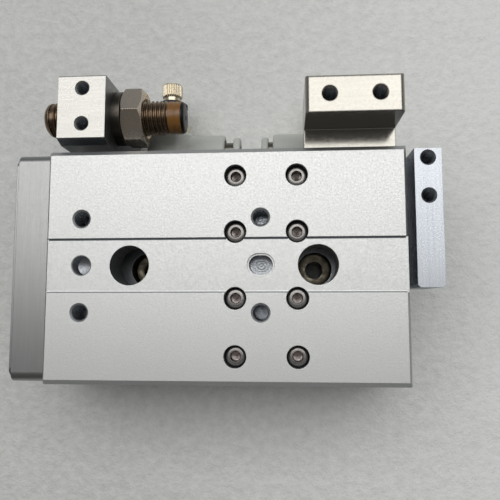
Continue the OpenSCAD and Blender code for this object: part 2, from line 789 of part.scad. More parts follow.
module end_plate() {
    h = plate_top_z - plate_bottom_z;
    mid_z = (plate_top_z + plate_bottom_z) / 2;
    edge = 0.8;
    color(satin) difference() {
        union() {
            along_x(table_front_x, plate_t - edge) translate([0, mid_z]) rounded(plate_w, h, plate_r);
            along_x(table_front_x, plate_t) translate([0, mid_z])
                rounded(plate_w - 2 * edge, h - 2 * edge, plate_r);
        }
        for (y = plate_screw_y, s = [-1, 1])
            translate([table_front_x + plate_t - m3[3] - head_sink, s * y, plate_screw_z])
                rotate([0, 90, 0]) screw_hole(m3, 1, plate_t, 0.01);
        at_bores() {
            bar_x(piston_rod_d + 0.2, table_front_x - eps, table_front_x + rod_sink);
            translate([table_front_x + plate_t - m3[3] - head_sink, 0, 0])
                rotate([0, 90, 0]) screw_hole(m3, 1, plate_t, 0.01);
        }
        for (sy = [-1, 1], sz = [-1, 1])
            translate([table_front_x + plate_t, sy * tool_span_y / 2, tool_z + sz * tool_span_z / 2])
                rotate([0, 90, 0]) tapped(m4, plate_t + 1);
    }
}

module end_plate_screws() {
    color(steel) for (y = plate_screw_y, s = [-1, 1])
        translate([table_front_x + plate_t - m3[3] - head_sink, s * y, plate_screw_z])
            rotate([0, 90, 0]) cap_screw(m3, plate_t - m3[3] - head_sink + plate_bite);
}

module rod_end_screws() {
    color(steel) at_bores() translate([table_front_x + plate_t - m3[3] - head_sink, 0, 0])
        rotate([0, 90, 0]) cap_screw(m3, plate_t - m3[3] - head_sink - rod_sink + rod_bite);
}

// Profile of a carriage: an inverted U over its rail
module carriage_outline(shrink) {
    w = block_w - 2 * shrink;
    in_w = rail_w + 2 * side_gap;
    bottom = seat_z + block_gap + shrink;
    roof = seat_z + rail_h + 0.4;
    top = under_z - shrink;
    polygon([
        [-w / 2, bottom], [-in_w / 2, bottom], [-in_w / 2, roof], [in_w / 2, roof],
        [in_w / 2, bottom], [w / 2, bottom], [w / 2, top - 0.3], [w / 2 - 0.3, top],
        [-w / 2 + 0.3, top], [-w / 2, top - 0.3]
    ]);
}

module carriage() {
    groove = ball_d / 2 + 0.03;
    color(steel) difference() {
        along_x(block_x - steel_l / 2, steel_l) carriage_outline(0);
        for (s = [-1, 1])
            translate([0, s * ball_y, ball_z])
                bar_x(2 * groove, block_x - steel_l / 2 - eps, block_x + steel_l / 2 + eps);
        for (sx = [-1, 1], sy = [-1, 1])
            translate([block_x + sx * block_pitch_x / 2, sy * block_pitch_y / 2, under_z - block_bite - 0.3])
                cylinder(d = m25[0], h = block_bite + 1);
    }
}

module carriage_port_side() {
    translate([0, -guide_span / 2, 0]) carriage();
}

module carriage_plain_side() {
    translate([0, guide_span / 2, 0]) carriage();
}

module carriage_end_caps() {
    color(black) at_guides() for (s = [-1, 1])
        translate([block_x + s * (steel_l + cap_l) / 2, 0, 0])
            along_x(-cap_l / 2, cap_l) carriage_outline(0.15);
}

module carriage_seals() {
    color(dark_steel) at_guides() for (s = [-1, 1])
        translate([block_x + s * (steel_l / 2 + cap_l + seal_l / 2), 0, 0])
            along_x(-seal_l / 2, seal_l) carriage_outline(0.3);
}

module bearing_balls() {
    color(steel) at_guides() for (s = [-1, 1], i = [0 : ball_n - 1])
        translate([block_x + (i - (ball_n - 1) / 2) * ball_pitch, s * ball_y, ball_z])
            sphere(d = ball_d);
}

module carriage_screws() {
    color(steel) at_carriage_screws()
        cap_screw(m25, table_t - block_head_sink - m25[3] + block_bite);
}

// L-shaped stopper: a foot against the table's side and an upright that meets the adjuster
module stopper_block() {
    color(satin) difference() {
        intersection() {
            along_x(stopper_front_x - stopper_l, stopper_l) polygon([
                [-table_w / 2, top_z - stopper_drop], [-table_w / 2, top_z - stopper_foot_drop],
                [stopper_in_y, top_z - stopper_foot_drop], [stopper_in_y, top_z + stopper_rise],
                [stopper_out_y + 0.4, top_z + stopper_rise], [stopper_out_y, top_z + stopper_rise - 0.4],
                [stopper_out_y, top_z - stopper_drop]
            ]);
            translate([stopper_x, 0, 0]) stopper_side();
        }
        for (s = [-1, 1]) translate([stopper_x + s * stopper_pitch / 2, 0, 0]) {
            translate([0, (stopper_in_y + stopper_out_y) / 2, top_z + stopper_rise])
                tapped(m3, stopper_hole_depth);
            translate([0, stopper_out_y + m4[3] + head_sink, stopper_screw_z]) rotate([90, 0, 0])
                screw_hole(m4, 1, stopper_t + stopper_foot, 0.01);
        }
    }
}

// Side view of the stopper, with its two top corners rounded
module stopper_side() {
    r = 1.2;
    z0 = top_z - stopper_drop - 1;
    z1 = top_z + stopper_rise;
    translate([0, 1, 0]) rotate([90, 0, 0]) linear_extrude(table_w) {
        translate([-stopper_l / 2, z0]) square([stopper_l, z1 - r - z0]);
        translate([-stopper_l / 2 + r, z0]) square([stopper_l - 2 * r, z1 - z0]);
        for (s = [-1, 1]) translate([s * (stopper_l / 2 - r), z1 - r]) circle(r = r);
    }
}

module stopper_screws() {
    grip = stopper_t + stopper_foot - m4[3] - head_sink;
    color(steel) for (s = [-1, 1])
        translate([stopper_x + s * stopper_pitch / 2, stopper_out_y + m4[3] + head_sink, stopper_screw_z])
            rotate([90, 0, 0]) cap_screw(m4, grip + stopper_bite);
}

// ---- Pistons ----

module piston_rods() {
    color(steel) at_bores() difference() {
        bar_x(piston_rod_d, piston_front_x - 0.5, table_front_x + rod_sink);
        bar_x(m3[0], table_front_x + rod_sink - rod_bite - thread_spare, table_front_x + rod_sink + eps);
    }
}

// Piston with a groove for its seal, one for its magnet, and a boss at each end
module pistons() {
    seal_x = land_rear_x + land_share;
    magnet_x = seal_x + piston_seal_l + land_share;
    color(anodised) at_bores() difference() {
        union() {
            bar_x(bore_d - 0.1, land_rear_x, land_front_x);
            bar_x(boss_d, piston_rear_x, piston_front_x);
        }
        ring_x(bore_d + 1, bore_d - 3, seal_x, piston_seal_l);
        ring_x(bore_d + 1, bore_d - 3, magnet_x, magnet_l);
        bar_x(piston_rod_d, piston_front_x - 0.5, piston_front_x + 1);
    }
}

module piston_seals() {
    seal_x = land_rear_x + land_share;
    color(black) at_bores()
        ring_x(bore_d - 2 * seat_gap, bore_d - 3 + 2 * seat_gap, seal_x + 0.05, piston_seal_l - 0.1);
}

module piston_magnets() {
    magnet_x = land_rear_x + 2 * land_share + piston_seal_l;
    color(dark_steel) at_bores()
        ring_x(bore_d - 0.3, bore_d - 3 + 2 * seat_gap, magnet_x + 0.05, magnet_l - 0.1);
}

// ---- Stroke adjuster ----

module adjuster_bolt() {
    d = adjuster_d;
    x1 = bolt_x + adjuster_l;
    color(dark_steel) translate([0, adjuster_y, adjuster_z]) difference() {
        translate([bolt_x, 0, 0]) rotate([0, 90, 0]) rotate_extrude() polygon([
            [0, 0], [d / 2 - 0.6, 0], [d / 2, 0.6], [d / 2, adjuster_l - 1.4],
            [d / 2 - 0.9, adjuster_l - 0.3], [d / 2 - 1.8, adjuster_l], [0, adjuster_l]
        ]);
        translate([x1 - key_depth, 0, 0]) rotate([0, 90, 0]) rotate([0, 0, 30]) hexagon(key_af, key_depth + 1);
        bar_x(cushion_stem_d + 2 * run, bolt_x - eps, bolt_x + cushion_stem_l + 0.2);
    }
}

// Urethane cushion, held by its stem in the end of the bolt
module adjuster_cushion() {
    color(amber) translate([0, adjuster_y, adjuster_z]) {
        bar_x(adjuster_d - 0.5, cushion_x, bolt_x);
        bar_x(cushion_stem_d, bolt_x - eps, bolt_x + cushion_stem_l);
    }
}

module adjuster_tip() {
    d = adjuster_d - 0.7;
    color(steel) translate([tip_x, adjuster_y, adjuster_z]) rotate([0, 90, 0]) difference() {
        rotate_extrude() polygon([
            [0, 0], [d / 2 - 0.5, 0], [d / 2, 0.5], [d / 2, tip_t], [0, tip_t]
        ]);
        translate([0, 0, -eps]) cylinder(d = 1.6, h = tip_t - 0.3);
    }
}

// Split spring washer
module lock_washer() {
    color(dark_steel) translate([washer_x, adjuster_y, adjuster_z]) rotate([0, 90, 0]) difference() {
        ring(nut_af + 0.4, adjuster_bore_d, washer_t);
        translate([0, -0.5, -eps]) cube([nut_af, 1, washer_t + 2 * eps]);
    }
}

module lock_nut() {
    color(dark_steel) translate([nut_x, adjuster_y, adjuster_z]) rotate([0, 90, 0]) difference() {
        chamfered_hexagon(nut_af, nut_t);
        translate([0, 0, -eps]) cylinder(d = adjuster_bore_d, h = nut_t + 2 * eps);
        for (z = [-eps, nut_t - 0.5 + eps])
            translate([0, 0, z]) cylinder(d1 = adjuster_bore_d + (z < 0 ? 1 : 0),
                d2 = adjuster_bore_d + (z < 0 ? 0 : 1), h = 0.5);
    }
}

// ---- Flow controls ----

module port_gaskets() {
    color(black) for (x = [front_port_x, rear_port_x])
        at_port(x, 0) ring(port_d + 3, port_d + 0.1, gasket_t);
}

// Hollow stem: screwed into the port, through the elbow, with a hexagon on top
module flow_stem() {
    neck_top = elbow_z1 + 0.2;
    color(brass) difference() {
        union() {
                translate([0, 0, -port_bite])
                cylinder(d = port_d - 2 * thread_gap, h = port_bite + gasket_t + eps);
            translate([0, 0, gasket_t]) cylinder(d = port_d + 2.6, h = flange_t);
            translate([0, 0, gasket_t]) cylinder(d = stem_neck_d, h = neck_top - gasket_t + eps);
            translate([0, 0, neck_top]) chamfered_hexagon(stem_hex_af, stem_hex_t);
            translate([0, 0, neck_top]) cylinder(d = stem_cap_d, h = stem_top_z - neck_top);
        }
        translate([0, 0, -port_bite - 1]) cylinder(d = 2.2, h = barrel_z + port_bite + 1);
        translate([0, 0, barrel_z - 1]) cylinder(d = needle_d + 2 * run, h = stem_top_z);
        translate([-stem_neck_d, 0, barrel_z]) rotate([0, 90, 0]) cylinder(d = 1.8, h = 2 * stem_neck_d);
    }
}

module front_flow_stem() {
    at_port(front_port_x, 180) flow_stem();
}

module rear_flow_stem() {
    at_port(rear_port_x, 0) flow_stem();
}

// Elbow that swivels on the stem, with a push-in barrel for the tube
module elbow() {
    c = 0.6;
    color(resin) difference() {
        union() {
            translate([0, 0, elbow_z0]) rotate_extrude() polygon([
                [0, 0], [elbow_d / 2 - c, 0], [elbow_d / 2, c], [elbow_d / 2, elbow_h - 2 * c],
                [elbow_d / 2 - 2 * c, elbow_h], [0, elbow_h]
            ]);
            translate([0, 0, barrel_z]) rotate([0, 90, 0]) rotate_extrude() polygon([
                [0, 0], [barrel_d / 2, 0], [barrel_d / 2, barrel_l - 0.4],
                [barrel_d / 2 - 0.4, barrel_l], [0, barrel_l]
            ]);
        }
        translate([0, 0, elbow_z0 - eps])
            cylinder(d = port_d + 2.6 + 4 * run, h = gasket_t + flange_t + 0.1 - elbow_z0);
        translate([0, 0, elbow_z0 - eps]) cylinder(d = stem_neck_d + 2 * run, h = elbow_h + 2 * eps);
        translate([0, 0, barrel_z]) rotate([0, 90, 0]) {
            cylinder(d = 2.4, h = barrel_l);
            translate([0, 0, tube_floor]) cylinder(d = tube_d + 2 * run, h = barrel_l - tube_floor);
            translate([0, 0, collet_floor]) cylinder(d = collet_d, h = barrel_l - collet_floor + eps);
        }
    }
}

// Metal sleeve that grips the tube
module collet() {
    color(brass) translate([barrel_l - collet_l - 0.2, 0, barrel_z]) rotate([0, 90, 0])
        ring(collet_d - 2 * seat_gap, tube_d + 1.4, collet_l);
}

// Ring that is pushed in to free the tube; its neck stands out of the barrel by out
module release_ring(out) {
    c = 0.3;
    neck_r = tube_d / 2 + 0.6;
    bore_r = tube_d / 2 + run;
    neck_l = release_l - release_flange_t;
    color(resin) translate([barrel_l + out - neck_l, 0, barrel_z]) rotate([0, 90, 0])
        rotate_extrude() polygon([
            [bore_r, 0], [neck_r, 0], [neck_r, neck_l], [release_d / 2 - c, neck_l],
            [release_d / 2, neck_l + c], [release_d / 2, release_l - c],
            [release_d / 2 - c, release_l], [bore_r, release_l]
        ]);
}

// Needle, closed against the stem, with a pin that its knob is pressed on
module flow_needle() {
    color(brass) {
        translate([0, 0, needle_neck_z - eps]) cylinder(d = knob_pin_d, h = knob_pin_l + eps);
        difference() {
            translate([0, 0, barrel_z + 1.5])
                cylinder(d = needle_d, h = needle_neck_z - barrel_z - 1.5);
            translate([0, 0, needle_ring_z - 0.1]) ring(needle_d + 1, needle_d - 1, 1);
        }
        translate([0, 0, barrel_z - 0.5]) cylinder(d1 = 0.6, d2 = 2, h = 2 + eps);
    }
}

// Knob with its neck, pressed on the needle
module flow_knob() {
    c = 0.3;
    color(brass) difference() {
        union() {
            translate([0, 0, knob_z]) rotate_extrude() polygon([
                [0, 0], [knob_d / 2 - c, 0], [knob_d / 2, c], [knob_d / 2, knob_h - c],
                [knob_d / 2 - c, knob_h], [0, knob_h]
            ]);
            translate([0, 0, needle_neck_z + seat_gap])
                cylinder(d = knob_neck_d, h = needle_neck_h + eps);
        }
        translate([0, 0, needle_neck_z]) cylinder(d = knob_pin_d + 2 * seat_gap, h = knob_pin_l + seat_gap);
    }
}

// O-ring in the needle's groove
module needle_ring() {
    color(black) translate([0, 0, needle_ring_z]) ring(needle_d + 0.04, needle_d - 1 + 0.06, 0.8);
}

module needle_nut() {
    color(dark_steel) translate([0, 0, needle_nut_z]) difference() {
        chamfered_hexagon(needle_nut_af, needle_nut_t);
        translate([0, 0, -eps]) cylinder(d = needle_d + 2 * run, h = needle_nut_t + 2 * eps);
    }
}

module front_elbow() { at_port(front_port_x, 180) elbow(); }
module front_collet() { at_port(front_port_x, 180) collet(); }
module front_release_ring() { at_port(front_port_x, 180) release_ring(front_release_out); }
module front_needle_ring() { at_port(front_port_x, 180) needle_ring(); }
module front_needle() { at_port(front_port_x, 180) flow_needle(); }
module front_knob() { at_port(front_port_x, 180) flow_knob(); }
module front_needle_nut() { at_port(front_port_x, 180) needle_nut(); }
module rear_elbow() { at_port(rear_port_x, 0) elbow(); }
module rear_collet() { at_port(rear_port_x, 0) collet(); }
module rear_release_ring() { at_port(rear_port_x, 0) release_ring(rear_release_out); }
module rear_needle_ring() { at_port(rear_port_x, 0) needle_ring(); }
module rear_needle() { at_port(rear_port_x, 0) flow_needle(); }
module rear_knob() { at_port(rear_port_x, 0) flow_knob(); }
module rear_needle_nut() { at_port(rear_port_x, 0) needle_nut(); }

cylinder_body();
guide_rail_port_side();
guide_rail_plain_side();
rail_screws();
rod_covers();
rod_cover_rings();
rod_seals();
head_caps();
head_cap_rings();
retaining_rings();
end_bumpers();
port_plugs();
adjuster_bracket();
bracket_screws();
rear_stop_bar();
bar_screws();
port_gaskets();
front_flow_stem();
rear_flow_stem();
table_plate();
end_plate();
end_plate_screws();
rod_end_screws();
carriage_port_side();
carriage_plain_side();
carriage_end_caps();
carriage_seals();
bearing_balls();
carriage_screws();
stopper_block();
stopper_screws();
piston_rods();
pistons();
piston_seals();
piston_magnets();
adjuster_cushion();
adjuster_tip();
adjuster_bolt();
lock_washer();
lock_nut();
front_elbow();
front_collet();
front_release_ring();
front_needle_ring();
front_needle();
front_knob();
front_needle_nut();
rear_elbow();
rear_collet();
rear_release_ring();
rear_needle_ring();
rear_needle();
rear_knob();
rear_needle_nut();
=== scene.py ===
"""Looks for a compact air slide table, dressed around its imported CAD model.

The CAD nodes keep their shapes and get procedural finishes. Threads, knurls and the finely made screws are
built here with Geometry Nodes and stand in for their plain CAD nodes.
"""

from __future__ import annotations

import json
import logging
import math
from dataclasses import dataclass
from enum import Enum
from functools import cache
from typing import Sequence

import bmesh
import bpy
from mathutils import Matrix, Vector

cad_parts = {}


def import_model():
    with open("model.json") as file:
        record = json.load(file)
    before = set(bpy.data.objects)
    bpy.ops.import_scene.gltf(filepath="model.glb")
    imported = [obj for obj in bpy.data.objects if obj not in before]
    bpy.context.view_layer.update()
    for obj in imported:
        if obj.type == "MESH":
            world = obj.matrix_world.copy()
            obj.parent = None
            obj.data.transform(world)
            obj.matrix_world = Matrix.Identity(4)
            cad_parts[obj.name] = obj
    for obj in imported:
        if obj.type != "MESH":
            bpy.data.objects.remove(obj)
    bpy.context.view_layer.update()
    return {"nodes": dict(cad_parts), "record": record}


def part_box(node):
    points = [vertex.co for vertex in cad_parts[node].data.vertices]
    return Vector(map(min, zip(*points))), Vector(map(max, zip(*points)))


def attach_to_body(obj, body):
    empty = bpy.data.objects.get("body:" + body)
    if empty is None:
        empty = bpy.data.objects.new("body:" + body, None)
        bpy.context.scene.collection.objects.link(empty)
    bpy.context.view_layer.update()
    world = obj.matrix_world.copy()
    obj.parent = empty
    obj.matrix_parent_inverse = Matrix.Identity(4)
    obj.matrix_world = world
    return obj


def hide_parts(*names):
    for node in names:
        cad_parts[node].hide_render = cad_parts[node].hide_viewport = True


LOG = logging.getLogger("slide_table")
MM = 0.001
PER_MM = 1.0 / MM
SKIN = 0.02  # how far a dressed wall stands off the CAD's own, in millimetres
SHARP_DEG = 35.0  # edges that turn more than this stay sharp
SOFT_DEG = 60.0  # the same for pieces with coarser curves
ORIGIN = (0.0, 0.0, 0.0)
Colour = tuple[float, float, float]
Profile = Sequence[tuple[float | list[float], float]]
Inputs = dict[object, object]
Socket = bpy.types.NodeSocket
Outputs = bpy.types.NodeOutputs
Tree = bpy.types.NodeTree
Piece = bpy.types.Object
Shape = bmesh.types.BMesh
Ring = list[bmesh.types.BMVert]


class Lay(Enum):
    """The way that the machining marks of a finish run."""

    NONE = (1.0, 1.0, 1.0)
    ALONG_X = (0.02, 1.0, 1.0)
    ALONG_Y = (1.0, 0.02, 1.0)


class Axis(Enum):
    """The row axis that a round piece points along, as the turn that takes +Z there."""

    PLUS_X = (0.0, math.pi / 2, 0.0)
    MINUS_Y = (math.pi / 2, 0.0, 0.0)
    PLUS_Z = (0.0, 0.0, 0.0)


def linear(colour: Colour) -> tuple[float, float, float, float]:
    """Turns a display colour into the linear one that shaders take.

    Args:
        colour: Red, green and blue as they look on a display, 0 to 1.

    Returns:
        The linear colour with an alpha of 1.
    """
    return tuple(c / 12.92 if c <= 0.04045 else ((c + 0.055) / 1.055) ** 2.4 for c in colour) + (1.0,)


# ---------------------------------------------------------------------------------------------------------
# Node trees


class NodePen:
    """Short calls that draw the nodes of one tree."""

    def __init__(self, tree: Tree) -> None:
        """Takes up a tree."""
        self.tree = tree

    def feed(self, node: bpy.types.Node, inputs: Inputs) -> None:
        """Sets or links inputs of a node.

        Args:
            node: The node.
            inputs: Input name or number to a value or a socket.
        """
        for key, value in inputs.items():
            if isinstance(value, Socket):
                self.tree.links.new(value, node.inputs[key])
            else:
                node.inputs[key].default_value = value

    def node(self, kind: str, inputs: Inputs | None = None, **settings: object) -> bpy.types.Node:
        """Adds a node.

        Args:
            kind: The node's type name.
            inputs: Input name or number to a value or a socket.
            **settings: Properties of the node itself.

        Returns:
            The node.
        """
        made = self.tree.nodes.new(kind)
        for label, value in settings.items():
            setattr(made, label, value)
        self.feed(made, inputs or {})
        return made

    def math(self, operation: str, *values: object) -> Socket:
        """Adds a math node and returns its result."""
        return self.node("ShaderNodeMath", dict(enumerate(values)), operation=operation).outputs[0]

    def vector_math(self, operation: str, *values: object) -> Outputs:
        """Adds a vector math node and returns its outputs."""
        return self.node("ShaderNodeVectorMath", dict(enumerate(values)), operation=operation).outputs

    def ramp(self, value: Socket, *span: object, **settings: object) -> Socket:
        """Maps a value from one span to another.

        Args:
            value: The value.
            *span: Where it starts and ends, and what these become if that isn't 0 and 1.
            **settings: Properties of the node itself.

        Returns:
            The mapped value.
        """
        inputs = {"Value": value, **dict(zip(("From Min", "From Max", "To Min", "To Max"), span))}
        return self.node("ShaderNodeMapRange", inputs, **settings).outputs["Result"]

    def noise(self, place: Socket, scale: object, detail: float, rough: float = 0.5) -> Socket:
        """Adds a noise texture and returns its height."""
        inputs = {"Vector": place, "Scale": scale, "Detail": detail, "Roughness": rough}
        return self.node("ShaderNodeTexNoise", inputs).outputs["Fac"]

    def blend(self, mask: Socket, low: object, high: object) -> Socket:
        """Mixes two colours by a mask and returns the mix."""
        return self.node("ShaderNodeMix", {0: mask, 6: low, 7: high}, data_type="RGBA").outputs[2]

    def weigh(self, *parts: tuple[Socket, float]) -> Socket:
        """Adds up masks, each times its own weight.

        Args:
            *parts: Pairs of a mask and its weight.

        Returns:
            The sum.
        """
        total = 0.0
        for mask, weight in parts:
            total = self.math("MULTIPLY_ADD", mask, weight, total)
        return total

    def group(self, tree: Tree, inputs: Inputs) -> Outputs:
        """Places a shader group and returns its outputs."""
        return self.node("ShaderNodeGroup", inputs, node_tree=tree).outputs

    def bump(self, height: Socket, distance: float, **normal: object) -> Socket:
        """Turns a height into a normal, over another normal if one is given, and returns it."""
        inputs = {"Height": height, "Distance": distance, **normal}
        return self.node("ShaderNodeBump", inputs).outputs["Normal"]


class GroupPen(NodePen):
    """A node group under construction, with named inputs."""

    _KINDS = {float: "Float", int: "Int", tuple: "Vector", type(None): "Material"}

    def __init__(self, name: str, kind: str) -> None:
        """Opens a group.

        Args:
            name: The group's name.
            kind: The type name of its tree.
        """
        super().__init__(bpy.data.node_groups.new(name, kind))
        self.start = self.tree.nodes.new("NodeGroupInput")
        self.end = self.tree.nodes.new("NodeGroupOutput")

    def takes(self, name: str, default: object = None) -> Socket:
        """Adds a named input.

        Args:
            name: The input's name.
            default: Its default value, which also gives its kind; none for a material.

        Returns:
            The input's socket.
        """
        kind = "NodeSocket" + self._KINDS[type(default)]
        socket = self.tree.interface.new_socket(name, in_out="INPUT", socket_type=kind)
        if default is not None:
            socket.default_value = default
        return self.start.outputs[name]


class ShaderGroup(GroupPen):
    """A shader group under construction."""

    def __init__(self, name: str) -> None:
        """Opens a group of that name."""
        super().__init__(name, "ShaderNodeTree")

    def close(self, **outputs: Socket) -> Tree:
        """Ends the group.

        Args:
            **outputs: Output name to the socket that feeds it.

        Returns:
            The finished group.
        """
        for label, socket in outputs.items():
            kind = "NodeSocketVector" if socket.type == "VECTOR" else "NodeSocketFloat"
            self.tree.interface.new_socket(label, in_out="OUTPUT", socket_type=kind)
        self.feed(self.end, outputs)
        return self.tree


class ShaderGroups:
    """The shader groups that the finishes share, each built once."""

    @staticmethod
    @cache
    def grain() -> Tree:
        """Fine blasted grain with a slow drift in tone.

        Returns:
            The group, which puts out a height, a tone mask and a slow patch mask.
        """
        g = ShaderGroup("Blasted grain")
        place = g.takes("Vector", ORIGIN)
        fine = g.noise(place, g.math("DIVIDE", PER_MM, g.takes("Grain size mm", 0.25)), 3.0, 0.65)
        patch = g.noise(place, g.math("DIVIDE", PER_MM, g.takes("Patch size mm", 18.0)), 2.0)
        return g.close(Height=fine, Tone=g.ramp(fine, 0.35, 0.65), Patch=patch)

    @staticmethod
    @cache
    def lay() -> Tree:
        """Streaks left by a cutter, drawn out along one axis.

        Returns:
            The group, which puts out a height and a tone mask.
        """
        g = ShaderGroup("Cutter lay")
        place, stretch = g.takes("Vector", ORIGIN), g.takes("Stretch", Lay.ALONG_X.value)
        drawn = g.vector_math("MULTIPLY", place, stretch)["Vector"]
        streak = g.noise(drawn, g.math("DIVIDE", PER_MM, g.takes("Streak size mm", 0.2)), 4.0, 0.7)
        return g.close(Height=streak, Tone=g.ramp(streak, 0.3, 0.7))

    @staticmethod
    @cache
    def marks() -> Tree:
        """Sparse specks and short hairline scratches.

        Returns:
            The group, which puts out a mask of the specks and scratches.
        """
        g = ShaderGroup("Specks and scratches")
        place, spacing = g.takes("Vector", ORIGIN), g.takes("Spacing mm", 5.0)
        scale, reach = g.math("DIVIDE", PER_MM, spacing), g.math("DIVIDE", g.takes("Speck mm", 0.12), spacing)
        masks = []
        for stretch in ((1.0, 1.0, 1.0), (0.09, 0.8, 1.0)):
            drawn = g.vector_math("MULTIPLY", place, stretch)["Vector"]
            cells = g.node("ShaderNodeTexVoronoi", {"Vector": drawn, "Scale": scale})
            masks.append(g.ramp(cells.outputs["Distance"], 0.0, reach, 1.0, 0.0))
        return g.close(Mask=g.math("MAXIMUM", *masks))

    @staticmethod
    @cache
    def painted_side_shade() -> Tree:
        """Upright faces, painted darker than the machined level ones as shade.

        Returns:
            The group, which puts out a mask of painted shade that is its share on upright faces and 0 on
            level ones.
        """
        g = ShaderGroup("Upright faces")
        normal, share = g.takes("Normal", ORIGIN), g.takes("Share", 0.0)
        slope = g.math("ABSOLUTE", g.node("ShaderNodeSeparateXYZ", {0: normal}).outputs["Z"])
        return g.close(Mask=g.ramp(slope, 0.5, 0.97, share, 0.0))

    @staticmethod
    @cache
    def edge() -> Tree:
        """Softened edges, lighter from slight rubbing and a painted highlight.

        Returns:
            The group, which puts out a normal rounded over the edges and a mask of the rubbed edge with its
            painted highlight.
        """
        g = ShaderGroup("Rubbed edge")
        radius, wear_and_highlight = g.takes("Radius mm", 0.2), g.takes("Rub and highlight", 1.0)
        metres = g.math("MULTIPLY", radius, MM)
        bevel = g.node("ShaderNodeBevel", {"Radius": metres}, samples=6).outputs["Normal"]
        turn = g.vector_math("DOT_PRODUCT", bevel, g.node("ShaderNodeNewGeometry").outputs["Normal"])["Value"]
        return g.close(Normal=bevel, Mask=g.math("MULTIPLY", g.ramp(turn, 0.995, 0.8), wear_and_highlight))


# ---------------------------------------------------------------------------------------------------------
# Finishes


@dataclass(frozen=True)
class Finish:
    """One surface finish of the slide table.

    Attributes:
        name: The material's name.
        slot: The record's material slot that it belongs to; not used.
        colour: Display colour of the clean surface.
        dark: Display colour of its darker specks and streaks.
        metallic: 1 for bare metal, 0 for resin and rubber.
        roughness: Roughness of the clean surface.
        rough_spread: How far the grain moves the roughness.
        grain_mm: Size of the grain.
        grain_bump: Height of the grain, in millimetres.
        grain_tone: Share of the dark colour in the specks.
        patch_tone: Share of the dark colour in the slow patches.
        lay: The way the cutter marks run.
        lay_mm: Width of a cutter mark.
        lay_bump: Depth of the cutter marks, in millimetres.
        lay_tone: Share of the dark colour in the streaks.
        edge_mm: Radius of the softened edges.
        edge_wear_and_highlight: How bright the edges are, from rubbing and a painted highlight.
        edge_wear_and_highlight_colour: Display colour of a rubbed edge with its painted highlight.
        coat: Weight of a clear coat.
        marks_mm: Distance between specks and scratches.
        marks_tone: Share of the dark colour in them.
        painted_side_shade: Display colour of the painted shade on upright faces.
        painted_side_shade_share: How far the upright faces take that painted shade.
    """

    name: str
    slot: str
    colour: Colour
    dark: Colour
    metallic: float = 1.0
    roughness: float = 0.4
    rough_spread: float = 0.1
    grain_mm: float = 0.25
    grain_bump: float = 0.01
    grain_tone: float = 0.3
    patch_tone: float = 0.1
    lay: Lay = Lay.NONE
    lay_mm: float = 0.2
    lay_bump: float = 0.0
    lay_tone: float = 0.0
    edge_mm: float = 0.2
    edge_wear_and_highlight: float = 0.3
    edge_wear_and_highlight_colour: Colour = (0.92, 0.92, 0.92)
    coat: float = 0.0
    marks_mm: float = 5.0
    marks_tone: float = 0.0
    painted_side_shade: Colour = (0.5, 0.5, 0.5)
    painted_side_shade_share: float = 0.0

    def material(self) -> bpy.types.Material:
        """Returns the finish's material, built on first use."""
        found = bpy.data.materials.get(self.name)
        return found if found else self._build()

    def _build(self) -> bpy.types.Material:
        """Builds the node material.

        Returns:
            The new material.
        """
        mat = bpy.data.materials.new(self.name)
        mat.use_nodes = True
        pen = NodePen(mat.node_tree)
        place = pen.node("ShaderNodeTexCoord").outputs
        spot = {"Vector": place["Object"]}
        grain = pen.group(ShaderGroups.grain(), {**spot, "Grain size mm": self.grain_mm})
        streaks = {**spot, "Stretch": self.lay.value, "Streak size mm": self.lay_mm}
        lay = pen.group(ShaderGroups.lay(), streaks)
        edge = pen.group(ShaderGroups.edge(), {"Radius mm": self.edge_mm, "Rub and highlight": self.edge_wear_and_highlight})
        marks = pen.group(ShaderGroups.marks(), {**spot, "Spacing mm": self.marks_mm})
        tone = pen.weigh(
            (grain["Tone"], self.grain_tone), (lay["Tone"], self.lay_tone),
            (grain["Patch"], self.patch_tone), (marks["Mask"], self.marks_tone),
        )
        colour = pen.blend(tone, linear(self.colour), linear(self.dark))
        # Upright faces take a darker colour: painted shade.
        if self.painted_side_shade_share:
            faces = {"Normal": place["Normal"], "Share": self.painted_side_shade_share}
            colour = pen.blend(pen.group(ShaderGroups.painted_side_shade(), faces)["Mask"], colour, linear(self.painted_side_shade))
        smooth = max(0.02, self.roughness - self.rough_spread)
        coarse = min(1.0, self.roughness + self.rough_spread)
        height = pen.weigh((grain["Height"], self.grain_bump), (lay["Height"], self.lay_bump))
        pen.feed(mat.node_tree.nodes["Principled BSDF"], {
            "Metallic": self.metallic,
            "Coat Weight": self.coat,
            # Edges take a lighter colour from rubbing and a painted highlight.
            "Base Color": pen.blend(edge["Mask"], colour, linear(self.edge_wear_and_highlight_colour)),
            "Roughness": pen.ramp(grain["Tone"], 0.0, 1.0, smooth, coarse),
            "Normal": pen.bump(height, MM, Normal=edge["Normal"]),
        })
        return mat


# The upright colours of these finishes are painted shade on their upright faces.
BLASTED = Finish(
    "Blasted table face", "satin_nickel", (0.88, 0.88, 0.868), (0.70, 0.702, 0.698), roughness=0.5,
    rough_spread=0.06, grain_mm=0.36, grain_bump=0.021, grain_tone=0.14, patch_tone=0.12, edge_mm=0.15,
    edge_wear_and_highlight=0.3, marks_mm=5.5, marks_tone=1.2, painted_side_shade=(0.60, 0.615, 0.635), painted_side_shade_share=0.8,
)
PLATE_GREY = Finish(
    "Milled end plate", "satin_nickel", (0.65, 0.65, 0.642), (0.49, 0.495, 0.49), roughness=0.34,
    rough_spread=0.04, grain_mm=0.3, grain_bump=0.001, grain_tone=0.06, patch_tone=0.12, lay=Lay.ALONG_Y,
    lay_mm=0.25, lay_bump=0.006, lay_tone=0.3, edge_mm=0.15, edge_wear_and_highlight=0.2, painted_side_shade=(0.62, 0.63, 0.64),
    painted_side_shade_share=0.6,
)
